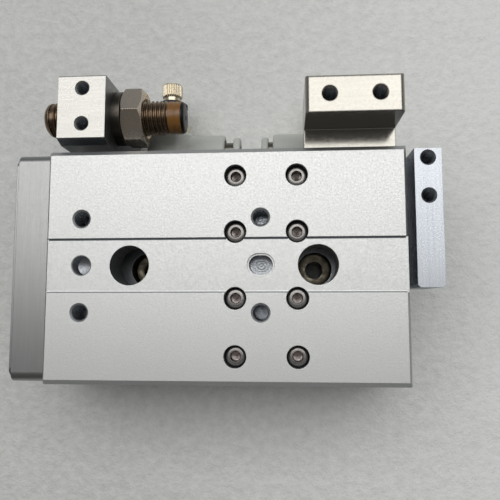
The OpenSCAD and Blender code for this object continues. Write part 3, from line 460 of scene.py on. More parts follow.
MILLED_X = Finish(
    "Milled bracket", "satin_nickel", (0.80, 0.79, 0.765), (0.58, 0.57, 0.55), roughness=0.36,
    grain_bump=0.003, grain_tone=0.1, lay=Lay.ALONG_X, lay_mm=0.16, lay_bump=0.014, lay_tone=0.4,
    edge_mm=0.12, edge_wear_and_highlight=0.3, painted_side_shade=(0.52, 0.53, 0.545), painted_side_shade_share=0.9,
)
GROUND = Finish(
    "Ground stopper", "satin_nickel", (0.745, 0.73, 0.695), (0.60, 0.58, 0.545), roughness=0.17,
    rough_spread=0.03, grain_mm=0.6, grain_bump=0.0004, grain_tone=0.12, patch_tone=0.35, lay=Lay.ALONG_X,
    lay_mm=0.3, lay_bump=0.0012, lay_tone=0.18, edge_mm=0.35, edge_wear_and_highlight=0.3, marks_mm=7.0, marks_tone=0.6,
    painted_side_shade=(0.52, 0.50, 0.475), painted_side_shade_share=0.9,
)
DRAWN = Finish(
    "Drawn bar", "satin_nickel", (0.765, 0.775, 0.79), (0.58, 0.60, 0.63), roughness=0.34, grain_bump=0.002,
    grain_tone=0.05, patch_tone=0.35, lay=Lay.ALONG_Y, lay_mm=0.3, lay_bump=0.002, lay_tone=0.35,
    edge_mm=0.06, edge_wear_and_highlight=0.3, painted_side_shade=(0.50, 0.52, 0.56), painted_side_shade_share=0.9,
)
ANODISED = Finish(
    "Anodised body", "anodised", (0.74, 0.75, 0.76), (0.60, 0.61, 0.63), roughness=0.45, grain_mm=0.3,
    grain_bump=0.008, grain_tone=0.2, lay=Lay.ALONG_X, lay_mm=0.5, lay_bump=0.006, lay_tone=0.12,
)
RAIL = Finish(
    "Ground rail steel", "rail_steel", (0.72, 0.71, 0.70), (0.50, 0.49, 0.48), roughness=0.25,
    grain_bump=0.002, lay=Lay.ALONG_X, lay_mm=0.12, lay_bump=0.003, lay_tone=0.2, edge_mm=0.1,
)
SCREW = Finish(
    "Bright screw steel", "screw_steel", (0.60, 0.585, 0.57), (0.34, 0.33, 0.32), roughness=0.3,
    rough_spread=0.05, grain_mm=0.5, grain_bump=0.001, grain_tone=0.1, patch_tone=0.2, edge_mm=0.04,
    edge_wear_and_highlight=0.4,
)
# Its bright edge colour paints highlights on the thread crests.
BRONZED = Finish(
    "Bronzed adjuster steel", "dark_steel", (0.52, 0.445, 0.37), (0.27, 0.215, 0.17), roughness=0.3,
    rough_spread=0.05, grain_mm=0.6, grain_bump=0.001, grain_tone=0.12, patch_tone=0.3, edge_mm=0.14,
    edge_wear_and_highlight=0.8, edge_wear_and_highlight_colour=(0.88, 0.80, 0.68),
)
# Its bright edge colour paints highlights on the nut's edges.
NUT = Finish(
    "Plated nut steel", "dark_steel", (0.84, 0.79, 0.73), (0.54, 0.48, 0.42), roughness=0.28,
    rough_spread=0.03, grain_mm=1.5, grain_bump=0.0, grain_tone=0.05, patch_tone=0.35, edge_mm=0.15,
    edge_wear_and_highlight=0.5, edge_wear_and_highlight_colour=(0.96, 0.93, 0.88),
)
BLACKED = Finish(
    "Blacked steel", "dark_steel", (0.20, 0.20, 0.20), (0.08, 0.08, 0.08), roughness=0.38, grain_bump=0.004,
    edge_mm=0.12, edge_wear_and_highlight=0.4, edge_wear_and_highlight_colour=(0.5, 0.5, 0.5),
)
CHAMPAGNE = Finish(
    "Champagne brass", "champagne_brass", (0.86, 0.82, 0.73), (0.64, 0.575, 0.465), roughness=0.28,
    grain_bump=0.002, grain_tone=0.15, patch_tone=0.2, edge_mm=0.08, edge_wear_and_highlight=0.6,
    edge_wear_and_highlight_colour=(0.96, 0.94, 0.88),
)
RESIN = Finish(
    "Moulded grey resin", "grey_resin", (0.775, 0.78, 0.75), (0.67, 0.675, 0.645), metallic=0.0,
    roughness=0.42, grain_mm=0.35, grain_bump=0.006, grain_tone=0.25, edge_mm=0.25, edge_wear_and_highlight=0.2,
)
DARK_RESIN = Finish(
    "Moulded dark resin", "dark_resin", (0.13, 0.13, 0.14), (0.07, 0.07, 0.07), metallic=0.0, roughness=0.5,
    grain_bump=0.006, edge_mm=0.15, edge_wear_and_highlight=0.1, edge_wear_and_highlight_colour=(0.3, 0.3, 0.3),
)
RUBBER = Finish(
    "Seal rubber", "seal_rubber", (0.09, 0.09, 0.09), (0.04, 0.04, 0.04), metallic=0.0, roughness=0.6,
    grain_bump=0.008, edge_mm=0.1, edge_wear_and_highlight=0.1, edge_wear_and_highlight_colour=(0.2, 0.2, 0.2),
)
URETHANE = Finish(
    "Amber urethane", "amber_urethane", (0.56, 0.38, 0.15), (0.34, 0.22, 0.09), metallic=0.0,
    roughness=0.35, grain_mm=0.8, grain_bump=0.01, grain_tone=0.3, patch_tone=0.4, edge_mm=0.2,
    edge_wear_and_highlight=0.1, edge_wear_and_highlight_colour=(0.6, 0.42, 0.2), coat=0.2,
)
# Darker and bluer than the faces round the holes: painted shade inside the tapped holes.
TAPPED = Finish(
    "Shaded tapped thread", "satin_nickel", (0.70, 0.715, 0.73), (0.27, 0.30, 0.34), roughness=0.34,
    grain_mm=0.4, grain_bump=0.002, grain_tone=0.35, patch_tone=0.3, edge_mm=0.03, edge_wear_and_highlight=0.3,
    edge_wear_and_highlight_colour=(0.8, 0.8, 0.8),
)
# Darker than the table face: painted shade on the floors of the locating hole and slot.
BORED = Finish(
    "Shaded bored seat", "satin_nickel", (0.66, 0.67, 0.68), (0.42, 0.43, 0.45), roughness=0.38, grain_mm=0.4,
    grain_bump=0.004, grain_tone=0.4, patch_tone=0.2, edge_mm=0.03, edge_wear_and_highlight=0.2,
)
# Darker and browner than the anodised body: painted shade deep in the access holes, with a brown tint.
SEAT_SHADE = Finish(
    "Shaded screw seat", "anodised", (0.60, 0.57, 0.50), (0.36, 0.33, 0.26), roughness=0.42, grain_mm=1.2,
    grain_bump=0.004, grain_tone=0.5, patch_tone=0.3, edge_mm=0.05, edge_wear_and_highlight=0.1,
    edge_wear_and_highlight_colour=(0.6, 0.58, 0.5),
)
COLLET = Finish(
    "Plated collet", "champagne_brass", (0.50, 0.48, 0.44), (0.20, 0.19, 0.17), roughness=0.22,
    grain_bump=0.001, grain_tone=0.2, edge_mm=0.05, edge_wear_and_highlight=0.5,
)
# A darker copy of the blasted face: painted shadow that the step casts on the port-side fillet.
SHADED = Finish(
    "Painted step shadow", "satin_nickel", (0.62, 0.64, 0.67), (0.46, 0.48, 0.51), roughness=0.45,
    grain_bump=0.004, edge_mm=0.02, edge_wear_and_highlight=0.0,
)
OXIDE = Finish(
    "Oxidised washer steel", "dark_steel", (0.36, 0.34, 0.31), (0.16, 0.15, 0.13), roughness=0.34,
    rough_spread=0.05, grain_mm=0.6, grain_bump=0.001, grain_tone=0.2, patch_tone=0.3, edge_mm=0.12,
    edge_wear_and_highlight=0.7, edge_wear_and_highlight_colour=(0.70, 0.67, 0.62),
)
SOCKET = Finish(
    "Dark key socket", "screw_steel", (0.66, 0.62, 0.60), (0.36, 0.33, 0.32), roughness=0.42, grain_mm=0.4,
    grain_bump=0.001, grain_tone=0.3, patch_tone=0.2, edge_mm=0.03, edge_wear_and_highlight=0.2,
    edge_wear_and_highlight_colour=(0.5, 0.48, 0.46),
)


# ---------------------------------------------------------------------------------------------------------
# Mesh building


def attach(obj: Piece, body: str, finish: Finish, *replaced: str) -> None:
    """Hands a piece to its body and reports it.

    Args:
        obj: The piece.
        body: The CAD body that it rides on.
        finish: The finish that it wears; not used.
        *replaced: The CAD nodes that it stands for.
    """
    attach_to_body(obj, body)
    if replaced:
        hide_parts(*replaced)
    LOG.info("%s: %d faces", obj.name, len(obj.data.polygons))


class Mesher:
    """Small meshes made by code and the step that turns a modifier's result into a plain mesh."""

    SCREW_STEPS = 48
    SOCKET_FLOOR = 0.22  # height of a socket's floor as a share of its head's
    SOCKET_CONE = 0.16  # depth of the drill point in that floor as a share of the key
    SOCKET_RIM = 0.12  # height of the socket's broken rim as a share of the key

    @staticmethod
    def rings(shape: Shape, profile: Profile, steps: int) -> list[Ring]:
        """Adds the rings of points that a profile makes round +Z.

        Args:
            shape: The shape to add to.
            profile: Points of radius and height, in millimetres; a list of radii makes a ring that isn't
                round.
            steps: Points of a round ring.

        Returns:
            The rings in the profile's order, with a single point for each radius of 0.
        """
        rings = []
        for reach, height in profile:
            radii = reach if isinstance(reach, list) else [reach] * (steps if reach else 1)
            turns = [2 * math.pi * i / len(radii) for i in range(len(radii))]
            rings.append([
                shape.verts.new((r * MM * math.cos(a), r * MM * math.sin(a), height * MM))
                for r, a in zip(radii, turns)
            ])
        return rings

    @staticmethod
    def skin(shape: Shape, rings: Sequence[Ring], inwards: bool = False) -> None:
        """Spans faces between neighbouring rings, of which one may be a single point.

        Args:
            shape: The shape to add to.
            rings: The rings, from low to high.
            inwards: Whether the faces point to the axis.
        """
        for low, high in zip(rings, rings[1:]):
            steps = max(len(low), len(high))
            for i in range(steps):
                j = (i + 1) % steps
                loop = [low[i % len(low)], low[j % len(low)], high[j % len(high)], high[i % len(high)]]
                first, *rest = dict.fromkeys(loop)
                shape.faces.new([first, *(reversed(rest) if inwards else rest)])

    @classmethod
    def lathe(cls, profile: Profile, steps: int = 64) -> Shape:
        """Turns a profile round +Z.

        Args:
            profile: Points of radius and height, in millimetres, from the bottom's centre to the top's.
            steps: Faces around.

        Returns:
            The turned shape.
        """
        shape = bmesh.new()
        cls.skin(shape, cls.rings(shape, profile, steps))
        bmesh.ops.recalc_face_normals(shape, faces=shape.faces)
        return shape

    @classmethod
    def socket_head(cls, diameter: float, height: float, key: float, shank: float, length: float) -> Shape:
        """One cap screw with rounded rims and a hexagon socket, its head's seat at the origin.

        Args:
            diameter: Diameter of the head, in millimetres.
            height: Height of the head.
            key: Width of the hexagon across its flats.
            shank: Diameter of the shank.
            length: Length of the shank.

        Returns:
            The screw, along -Z.
        """
        radius, rim, floor = diameter / 2, 0.3 * diameter / 2, height * cls.SOCKET_FLOOR
        sixth, turns = math.pi / 3, [2 * math.pi * i / cls.SCREW_STEPS for i in range(cls.SCREW_STEPS)]
        hexagon = [key / 2 / math.cos((a + sixth / 2) % sixth - sixth / 2) for a in turns]
        return cls.lathe([
            (0.0, floor - cls.SOCKET_CONE * key), (hexagon, floor), (hexagon, height - cls.SOCKET_RIM * key),
            ([max(r, 0.575 * key) for r in hexagon], height), (radius - rim, height),
            (radius - 0.6 * rim, height - 0.1 * rim), (radius - 0.25 * rim, height - 0.4 * rim),
            (radius, height - rim), (radius, 0.0), (shank / 2, 0.0), (shank / 2, -length), (0.0, -length),
        ], cls.SCREW_STEPS)

    @classmethod
    def key_socket(cls, key: float, height: float, gap: float = 0.012) -> Shape:
        """The walls and floor of a hexagon socket, just inside the head's own.

        Args:
            key: Width of the hexagon across its flats, in millimetres.
            height: Height of the head.
            gap: Distance from the head's own socket.

        Returns:
            The open cup, facing up and inwards.
        """
        shape = bmesh.new()
        foot, inside = height * cls.SOCKET_FLOOR + gap, key / 2 - gap
        corner, drill = inside / math.cos(math.pi / 6), inside * 0.94
        walls = [(corner, foot), (corner, height - cls.SOCKET_RIM * key)]
        floor = [(0.0, foot - cls.SOCKET_CONE * key), (0.04 * drill, foot - 0.15 * key), (drill, foot + gap)]
        for profile, steps in ((walls, 6), (floor, cls.SCREW_STEPS)):
            cls.skin(shape, cls.rings(shape, profile, steps), inwards=True)
        return shape

    @staticmethod
    def place(shape: Shape, axis: Axis, at: Sequence[float]) -> Shape:
        """Turns a shape from +Z to an axis and moves it.

        Args:
            shape: The shape.
            axis: The axis to turn it to.
            at: Where its origin goes, in millimetres.

        Returns:
            The same shape.
        """
        x, y, _ = axis.value
        turn = Matrix.Rotation(y, 3, "Y") @ Matrix.Rotation(x, 3, "X")
        shape.transform(Matrix.Translation(Vector(at) * MM) @ turn.to_4x4())
        return shape

    @classmethod
    def mesh_object(
        cls, name: str, shapes: Sequence[Shape] = (), finish: Finish | None = None,
        sharp_deg: float = SHARP_DEG,
    ) -> Piece:
        """Joins shapes into one object at the origin.

        Args:
            name: The object's name.
            shapes: The shapes; they are freed.
            finish: The finish to give it, if any.
            sharp_deg: Edges that turn more than this stay sharp.

        Returns:
            The object, linked to the scene.
        """
        mesh = bpy.data.meshes.new(name)
        whole = bmesh.new()
        for shape in shapes:
            part = bpy.data.meshes.new("part")
            shape.to_mesh(part)
            whole.from_mesh(part)
            shape.free()
            bpy.data.meshes.remove(part)
        whole.to_mesh(mesh)
        whole.free()
        cls.smooth(mesh, sharp_deg)
        if finish:
            mesh.materials.append(finish.material())
        obj = bpy.data.objects.new(name, mesh)
        bpy.context.scene.collection.objects.link(obj)
        return obj

    @staticmethod
    def smooth(mesh: bpy.types.Mesh, sharp_deg: float) -> None:
        """Shades a mesh smooth but for its sharp edges."""
        mesh.shade_smooth()
        mesh.set_sharp_from_angle(angle=math.radians(sharp_deg))

    @classmethod
    def settle(cls, obj: Piece, sharp_deg: float) -> None:
        """Turns what an object's modifiers make into its plain mesh.

        Args:
            obj: The object with its modifiers set.
            sharp_deg: Edges that turn more than this stay sharp.
        """
        graph = bpy.context.evaluated_depsgraph_get()
        made = obj.evaluated_get(graph)
        mesh = bpy.data.meshes.new_from_object(made, preserve_all_data_layers=True, depsgraph=graph)
        obj.modifiers.clear()
        old = obj.data
        obj.data = mesh
        bpy.data.meshes.remove(old)
        mesh.name = obj.name
        cls.smooth(mesh, sharp_deg)


class GeometryTree(GroupPen):
    """A Geometry Nodes tree under construction."""

    def __init__(self, name: str, takes_mesh: bool = False) -> None:
        """Opens a tree.

        Args:
            name: The tree's name.
            takes_mesh: Whether it works on the object's own mesh.
        """
        super().__init__(name, "GeometryNodeTree")
        for way in ("OUTPUT", "INPUT") if takes_mesh else ("OUTPUT",):
            self.tree.interface.new_socket("Geometry", in_out=way, socket_type="NodeSocketGeometry")

    def takes_grid(self, *ways: str) -> list[Socket]:
        """Adds the inputs for a pitch and a count each way, and returns their sockets."""
        names = [(name, default) for way in ways for name, default in ((f"{way} pitch", 0.0), (f"{way}s", 1))]
        return [self.takes(name, default) for name, default in names]

    def grid(self, pitch_x: object, columns: object, pitch_y: object, rows: object) -> Socket:
        """Adds a grid of points.

        Args:
            pitch_x: Distance of its columns.
            columns: Number of them.
            pitch_y: Distance of its rows.
            rows: Number of them.

        Returns:
            The grid's mesh.
        """
        return self.node("GeometryNodeMeshGrid", {
            "Size X": self.math("MULTIPLY", pitch_x, self.math("SUBTRACT", columns, 1.0)),
            "Size Y": self.math("MULTIPLY", pitch_y, self.math("SUBTRACT", rows, 1.0)),
            "Vertices X": columns, "Vertices Y": rows,
        }).outputs["Mesh"]

    def sheet(self, along: object, around: object) -> tuple[Socket, ...]:
        """Lays a flat sheet to be wound round +Z.

        Args:
            along: Points along it.
            around: Points around it.

        Returns:
            Its mesh and each point's share of the length and of the turn.
        """
        sizes = {"Size X": 1.0, "Size Y": 1.0, "Vertices X": along, "Vertices Y": around}
        flat = self.node("GeometryNodeMeshGrid", sizes).outputs["Mesh"]
        place = self.node("GeometryNodeInputPosition").outputs[0]
        point = self.node("ShaderNodeSeparateXYZ", {0: place}).outputs
        return flat, self.math("ADD", point[0], 0.5), self.math("ADD", point[1], 0.5)

    def zigzag(self, count: Socket) -> Socket:
        """Returns a wave of a rising number that is 1 at whole numbers and 0 between them."""
        phase = self.math("MULTIPLY", self.math("FRACT", count), 2.0)
        return self.math("ABSOLUTE", self.math("SUBTRACT", phase, 1.0))

    def nearest_end(self, height: Socket, length: Socket) -> Socket:
        """Returns the distance from a height to the nearer end of a length."""
        return self.math("MINIMUM", height, self.math("SUBTRACT", length, height))

    def wind(self, sheet: Socket, *where: Socket) -> Socket:
        """Winds a sheet round +Z and joins its seam.

        Args:
            sheet: The sheet's mesh.
            *where: The radius, share of the turn and height of each point.

        Returns:
            The wound mesh, which faces inwards.
        """
        radius, share, height = where
        angle = self.math("MULTIPLY", share, 2 * math.pi)
        across = [self.math("MULTIPLY", radius, self.math(part, angle)) for part in ("COSINE", "SINE")]
        wound = self.node("ShaderNodeCombineXYZ", {0: across[0], 1: across[1], 2: height}).outputs[0]
        shaped = self.node("GeometryNodeSetPosition", {"Geometry": sheet, "Position": wound}).outputs[0]
        return self.node("GeometryNodeMergeByDistance", {"Geometry": shaped, "Distance": 1e-6}).outputs[0]

    def flip(self, mesh: Socket) -> Socket:
        """Turns a mesh's faces round and returns it."""
        return self.node("GeometryNodeFlipFaces", {"Mesh": mesh}).outputs[0]

    def copies(self, points: Socket, shape: Socket) -> Socket:
        """Puts a copy of a shape on each point and returns them."""
        return self.node("GeometryNodeInstanceOnPoints", {"Points": points, "Instance": shape}).outputs[0]

    def close(self, geometry: Socket) -> Tree:
        """Ends the tree in the geometry, turned, placed, realised and with its material.

        Args:
            geometry: The last geometry.

        Returns:
            The finished tree.
        """
        place, turn = self.takes("Place", ORIGIN), self.takes("Turn", ORIGIN)
        moves = {"Geometry": geometry, "Translation": place, "Rotation": turn}
        moved = self.node("GeometryNodeTransform", moves).outputs[0]
        real = self.node("GeometryNodeRealizeInstances", {"Geometry": moved}).outputs["Geometry"]
        dress = {"Geometry": real, "Material": self.takes("Finish")}
        self.feed(self.end, {"Geometry": self.node("GeometryNodeSetMaterial", dress).outputs["Geometry"]})
        return self.tree


class Trees:
    """The Geometry Nodes trees that the pieces share, each built once."""

    KNURL_POINTS = 30  # points along a knurl
    RIDGE_POINTS = 8.0  # points across one of its ridges

    @staticmethod
    @cache
    def thread() -> Tree:
        """A screw thread wound round +Z and repeated on a grid of places.

        Returns:
            The tree. Its inputs are the thread's radii, pitch and length, the grid's counts and pitches, and
            the turn and place of the whole.
        """
        t = GeometryTree("Screw thread")
        length, pitch = t.takes("Length", 0.01), t.takes("Pitch", 0.001)
        crest, root = t.takes("Crest radius", 0.004), t.takes("Root radius", 0.0035)
        sheet, along, turn = t.sheet(t.takes("Along", 200), t.takes("Around", 64))
        height = t.math("MULTIPLY", along, length)
        flank = t.zigzag(t.math("SUBTRACT", t.math("DIVIDE", height, pitch), turn))
        ridge = t.ramp(flank, 0.1, 0.88, interpolation_type="SMOOTHSTEP")
        ends = t.math("DIVIDE", t.nearest_end(height, length), t.takes("Run out", 0.0005))
        run_out = t.node("ShaderNodeClamp", {"Value": ends}).outputs[0]
        depth = t.math("MULTIPLY", t.math("MULTIPLY", ridge, run_out), t.math("SUBTRACT", crest, root))
        wound = t.wind(sheet, t.math("ADD", root, depth), turn, height)
        disc = {"Vertices": 32, "Radius": root}
        floor = t.node("GeometryNodeMeshCircle", disc, fill_type="NGON").outputs[0]
        closed = t.node("GeometryNodeJoinGeometry")
        for part in (wound, floor):
            t.feed(closed, {0: part})
        inwards = t.math("GREATER_THAN", t.takes("Faces inwards", 0), 0.5)
        sides = {"Switch": inwards, "False": t.flip(wound), "True": closed.outputs[0]}
        facing = t.node("GeometryNodeSwitch", sides, input_type="GEOMETRY").outputs[0]
        return t.close(t.copies(t.grid(*t.takes_grid("Column", "Row")), facing))

    @classmethod
    @cache
    def knurl(cls) -> Tree:
        """A sleeve with straight knurling and broken ends, along +Z.

        Returns:
            The tree. Its inputs are the radius, the depth and number of the ridges, the length and the place.
        """
        t = GeometryTree("Straight knurl")
        length, radius, depth = t.takes("Length", 0.004), t.takes("Radius", 0.0026), t.takes("Depth", 0.0002)
        ridges, chamfer = t.takes("Ridges", 30), t.takes("Chamfer", 0.0003)
        around = t.math("ADD", t.math("MULTIPLY", ridges, cls.RIDGE_POINTS), 1.0)
        sheet, along, turn = t.sheet(cls.KNURL_POINTS, around)
        height = t.math("MULTIPLY", along, length)
        wave = t.zigzag(t.math("MULTIPLY", turn, ridges))
        valley = t.ramp(wave, 0.35, 1.0, interpolation_type="SMOOTHSTEP")
        broken = t.math("MAXIMUM", t.math("SUBTRACT", chamfer, t.nearest_end(height, length)), 0.0)
        grooved = t.math("SUBTRACT", radius, t.math("MULTIPLY", valley, depth))
        return t.close(t.flip(t.wind(sheet, t.math("SUBTRACT", grooved, broken), turn, height)))

    @staticmethod
    @cache
    def pattern() -> Tree:
        """Repeats the object's own mesh on a grid, and the grid on a row across.

        Returns:
            The tree. Its inputs are the counts and pitches of the grid and of the row, and the place.
        """
        t = GeometryTree("Screw pattern", takes_mesh=True)
        one = t.copies(t.grid(*t.takes_grid("Column", "Row")), t.start.outputs["Geometry"])
        return t.close(t.copies(t.grid(0.0, 1, *t.takes_grid("Group")), one))

    @staticmethod
    def grow(
        name: str, tree: Tree, values: dict[str, object], finish: Finish,
        sharp_deg: float = SHARP_DEG, shapes: Sequence[Shape] = (),
    ) -> Piece:
        """Runs a tree on a new object and keeps the result as a plain mesh.

        Args:
            name: The object's name.
            tree: The tree to run.
            values: Input name to its value.
            finish: The finish to give it.
            sharp_deg: Edges that turn more than this stay sharp.
            shapes: What the object's own mesh holds before.

        Returns:
            The object with the made mesh.
        """
        obj = Mesher.mesh_object(name, shapes)
        modifier = obj.modifiers.new(tree.name, "NODES")
        modifier.node_group = tree
        sockets = [s for s in tree.interface.items_tree if s.item_type == "SOCKET" and s.in_out == "INPUT"]
        keys = {socket.name: socket.identifier for socket in sockets}
        for label, value in {**values, "Finish": finish.material()}.items():
            modifier[keys[label]] = value
        Mesher.settle(obj, sharp_deg)
        return obj


# ---------------------------------------------------------------------------------------------------------
# Sub-assemblies


@dataclass
class Dresser:
    """Puts finishes on CAD nodes.

    Attributes:
        nodes: The CAD nodes by name.
    """

    nodes: dict[str, Piece]

    def wear(self, finish: Finish, *names: str) -> None:
        """Gives CAD nodes a finish.

        Args:
            finish: The finish.
            *names: The nodes' names.
        """
        for name in names:
            data = self.nodes[name].data
            data.materials.clear()
            data.materials.append(finish.material())
            LOG.info("%s wears %s", name, finish.name)


@dataclass
class TappedHoles:
    """Thread that shows inside a group of tapped holes.

    Attributes:
        name: The piece's name.
        body: The CAD body that it rides on.
        mount: The record's bolt pattern, which gives the holes' places and tap drill.
        axis: The way out of the holes.
        pitch: The thread's pitch.
        depth: Length of the thread.
        set_in: Distance from the holes' mouths to the first turn.
        flat: Share of the pitch that the thread stands out from the drilled wall.
        fade: Share of the pitch that its ends run out over.
        around: Points around a turn.
        turn_points: Points along a turn.
    """

    name: str
    body: str
    mount: dict
    axis: Axis
    pitch: float
    depth: float
    set_in: float = 0.45
    flat: float = 0.22
    fade: float = 0.4
    around: int = 49
    turn_points: int = 9

    def build(self) -> None:
        """Winds the threads."""
        sizes = self.mount["dims"]
        radius = sizes["hole_r_mm"]
        pitches = [sizes.get("spacing_x_mm", 0.0), sizes.get("spacing_y_mm", 0.0)]
        if self.axis is Axis.PLUS_X:
            pitches.reverse()
        start = Vector(self.mount["pos_m"]) - Vector(self.mount["axis"]) * (self.depth + self.set_in) * MM
        # The thread wears painted shade.
        obj = Trees.grow(self.name, Trees.thread(), {
            "Length": self.depth * MM, "Pitch": self.pitch * MM, "Run out": self.fade * self.pitch * MM,
            "Crest radius": (radius - self.flat * self.pitch) * MM, "Root radius": (radius + SKIN) * MM,
            "Around": self.around, "Along": int(self.depth / self.pitch * self.turn_points) + 1,
            "Columns": 2 if pitches[0] else 1, "Rows": 2 if pitches[1] else 1, "Faces inwards": 1,
            "Column pitch": pitches[0] * MM, "Row pitch": pitches[1] * MM,
            "Turn": self.axis.value, "Place": tuple(start),
        }, TAPPED)
        attach(obj, self.body, TAPPED)


@dataclass
class Bowls:
    """Machined floors and walls seen at the bottom of holes.

    Attributes:
        name: The piece's name.
        body: The CAD body that it rides on.
        finish: Its finish.
        steps: Faces around a bowl.
    """

    name: str
    body: str
    finish: Finish
    steps: int = 64

    def build(self, *bowls: tuple[float, Profile, float]) -> None:
        """Turns the bowls.

        Args:
            *bowls: For each bowl the X of its middle, its profile of radius and height from the inside to the
                mouth, and half of the distance that draws it out along X, all in millimetres.
        """
        shapes = [self._bowl(*bowl) for bowl in bowls]
        attach(Mesher.mesh_object(self.name, shapes, self.finish, SOFT_DEG), self.body, self.finish)

    def _bowl(self, middle: float, profile: Profile, half: float) -> Shape:
        """Turns one bowl whose faces point to its axis and up.

        Args:
            middle: The X of its middle.
            profile: Radius and height from the inside to the mouth.
            half: Half of the distance that draws it out along X.

        Returns:
            The bowl.
        """
        shape = bmesh.new()
        reach = max(radius for radius, _ in profile)
        turns = [2 * math.pi * (i + 0.5) / self.steps for i in range(self.steps)]
        rings = []
        for radius, height in profile:
            drawn = [middle + math.copysign(half * radius / reach, math.cos(a)) for a in turns]
            rings.append([
                shape.verts.new(Vector((x + radius * math.cos(a), radius * math.sin(a), height)) * MM)
                for x, a in zip(drawn, turns)
            ])
        Mesher.skin(shape, rings, inwards=True)
        return shape


@dataclass
class CylinderBase:
    """The cylinder body with its guides, bracket, bar and fixed fastenings.

    Attributes:
        dresser: Puts finishes on CAD nodes.
        mounts: The record's mounts by name.
        thread_pitch: Pitch of the small threads in bracket and bar.
        hole_foot: Height that the mounting holes are seen down to.
        seat_floor: Height of the floor that a mounting screw's head sits on.
        seat_mouth: Height that its seat is seen up to.
        seat_radius: Radius of the seat.
        seat_corner: Width of the broken corner at the seat's foot.
    """

    dresser: Dresser
    mounts: dict[str, dict]
    thread_pitch: float = 0.5
    hole_foot: float = 1.0
    seat_floor: float = 11.1
    seat_mouth: float = 15.4
    seat_radius: float = 4.0
    seat_corner: float = 0.2

    def dress(self) -> None:
        """Gives the base's nodes their finishes."""
        d = self.dresser
        d.wear(ANODISED, "cylinder_body", "rod_covers", "head_caps")
        d.wear(RAIL, "guide_rail_port_side", "guide_rail_plain_side")
        d.wear(BLACKED, "rail_screws", "retaining_rings", "port_plugs")
        d.wear(RUBBER, "rod_cover_rings", "rod_seals", "head_cap_rings", "end_bumpers", "port_gaskets")
        d.wear(MILLED_X, "adjuster_bracket")
        d.wear(SCREW, "bracket_screws", "bar_screws")
        d.wear(DRAWN, "rear_stop_bar")

    def build(self) -> None:
        """Adds the threads and screw seats that show in the base's holes."""
        for name, depth in (("bracket_threads", 3.8), ("bar_threads", 6.5)):
            TappedHoles(name, "base", self.mounts[name], Axis.PLUS_Z, self.thread_pitch, depth).build()
        sizes = self.mounts["body_bolts"]["dims"]
        half, hole = sizes["spacing_x_mm"] / 2, sizes["hole_r_mm"] - SKIN
        wall, floor = self.seat_radius - SKIN, self.seat_floor + SKIN
        seat = [
            (hole, self.hole_foot), (hole, floor), (wall - self.seat_corner, floor),
            (wall, floor + self.seat_corner), (wall, self.seat_mouth),
        ]
        # The seats wear painted shade.
        Bowls("mount_screw_seats", "base", SEAT_SHADE).build((-half, seat, 0.0), (half, seat, 0.0))


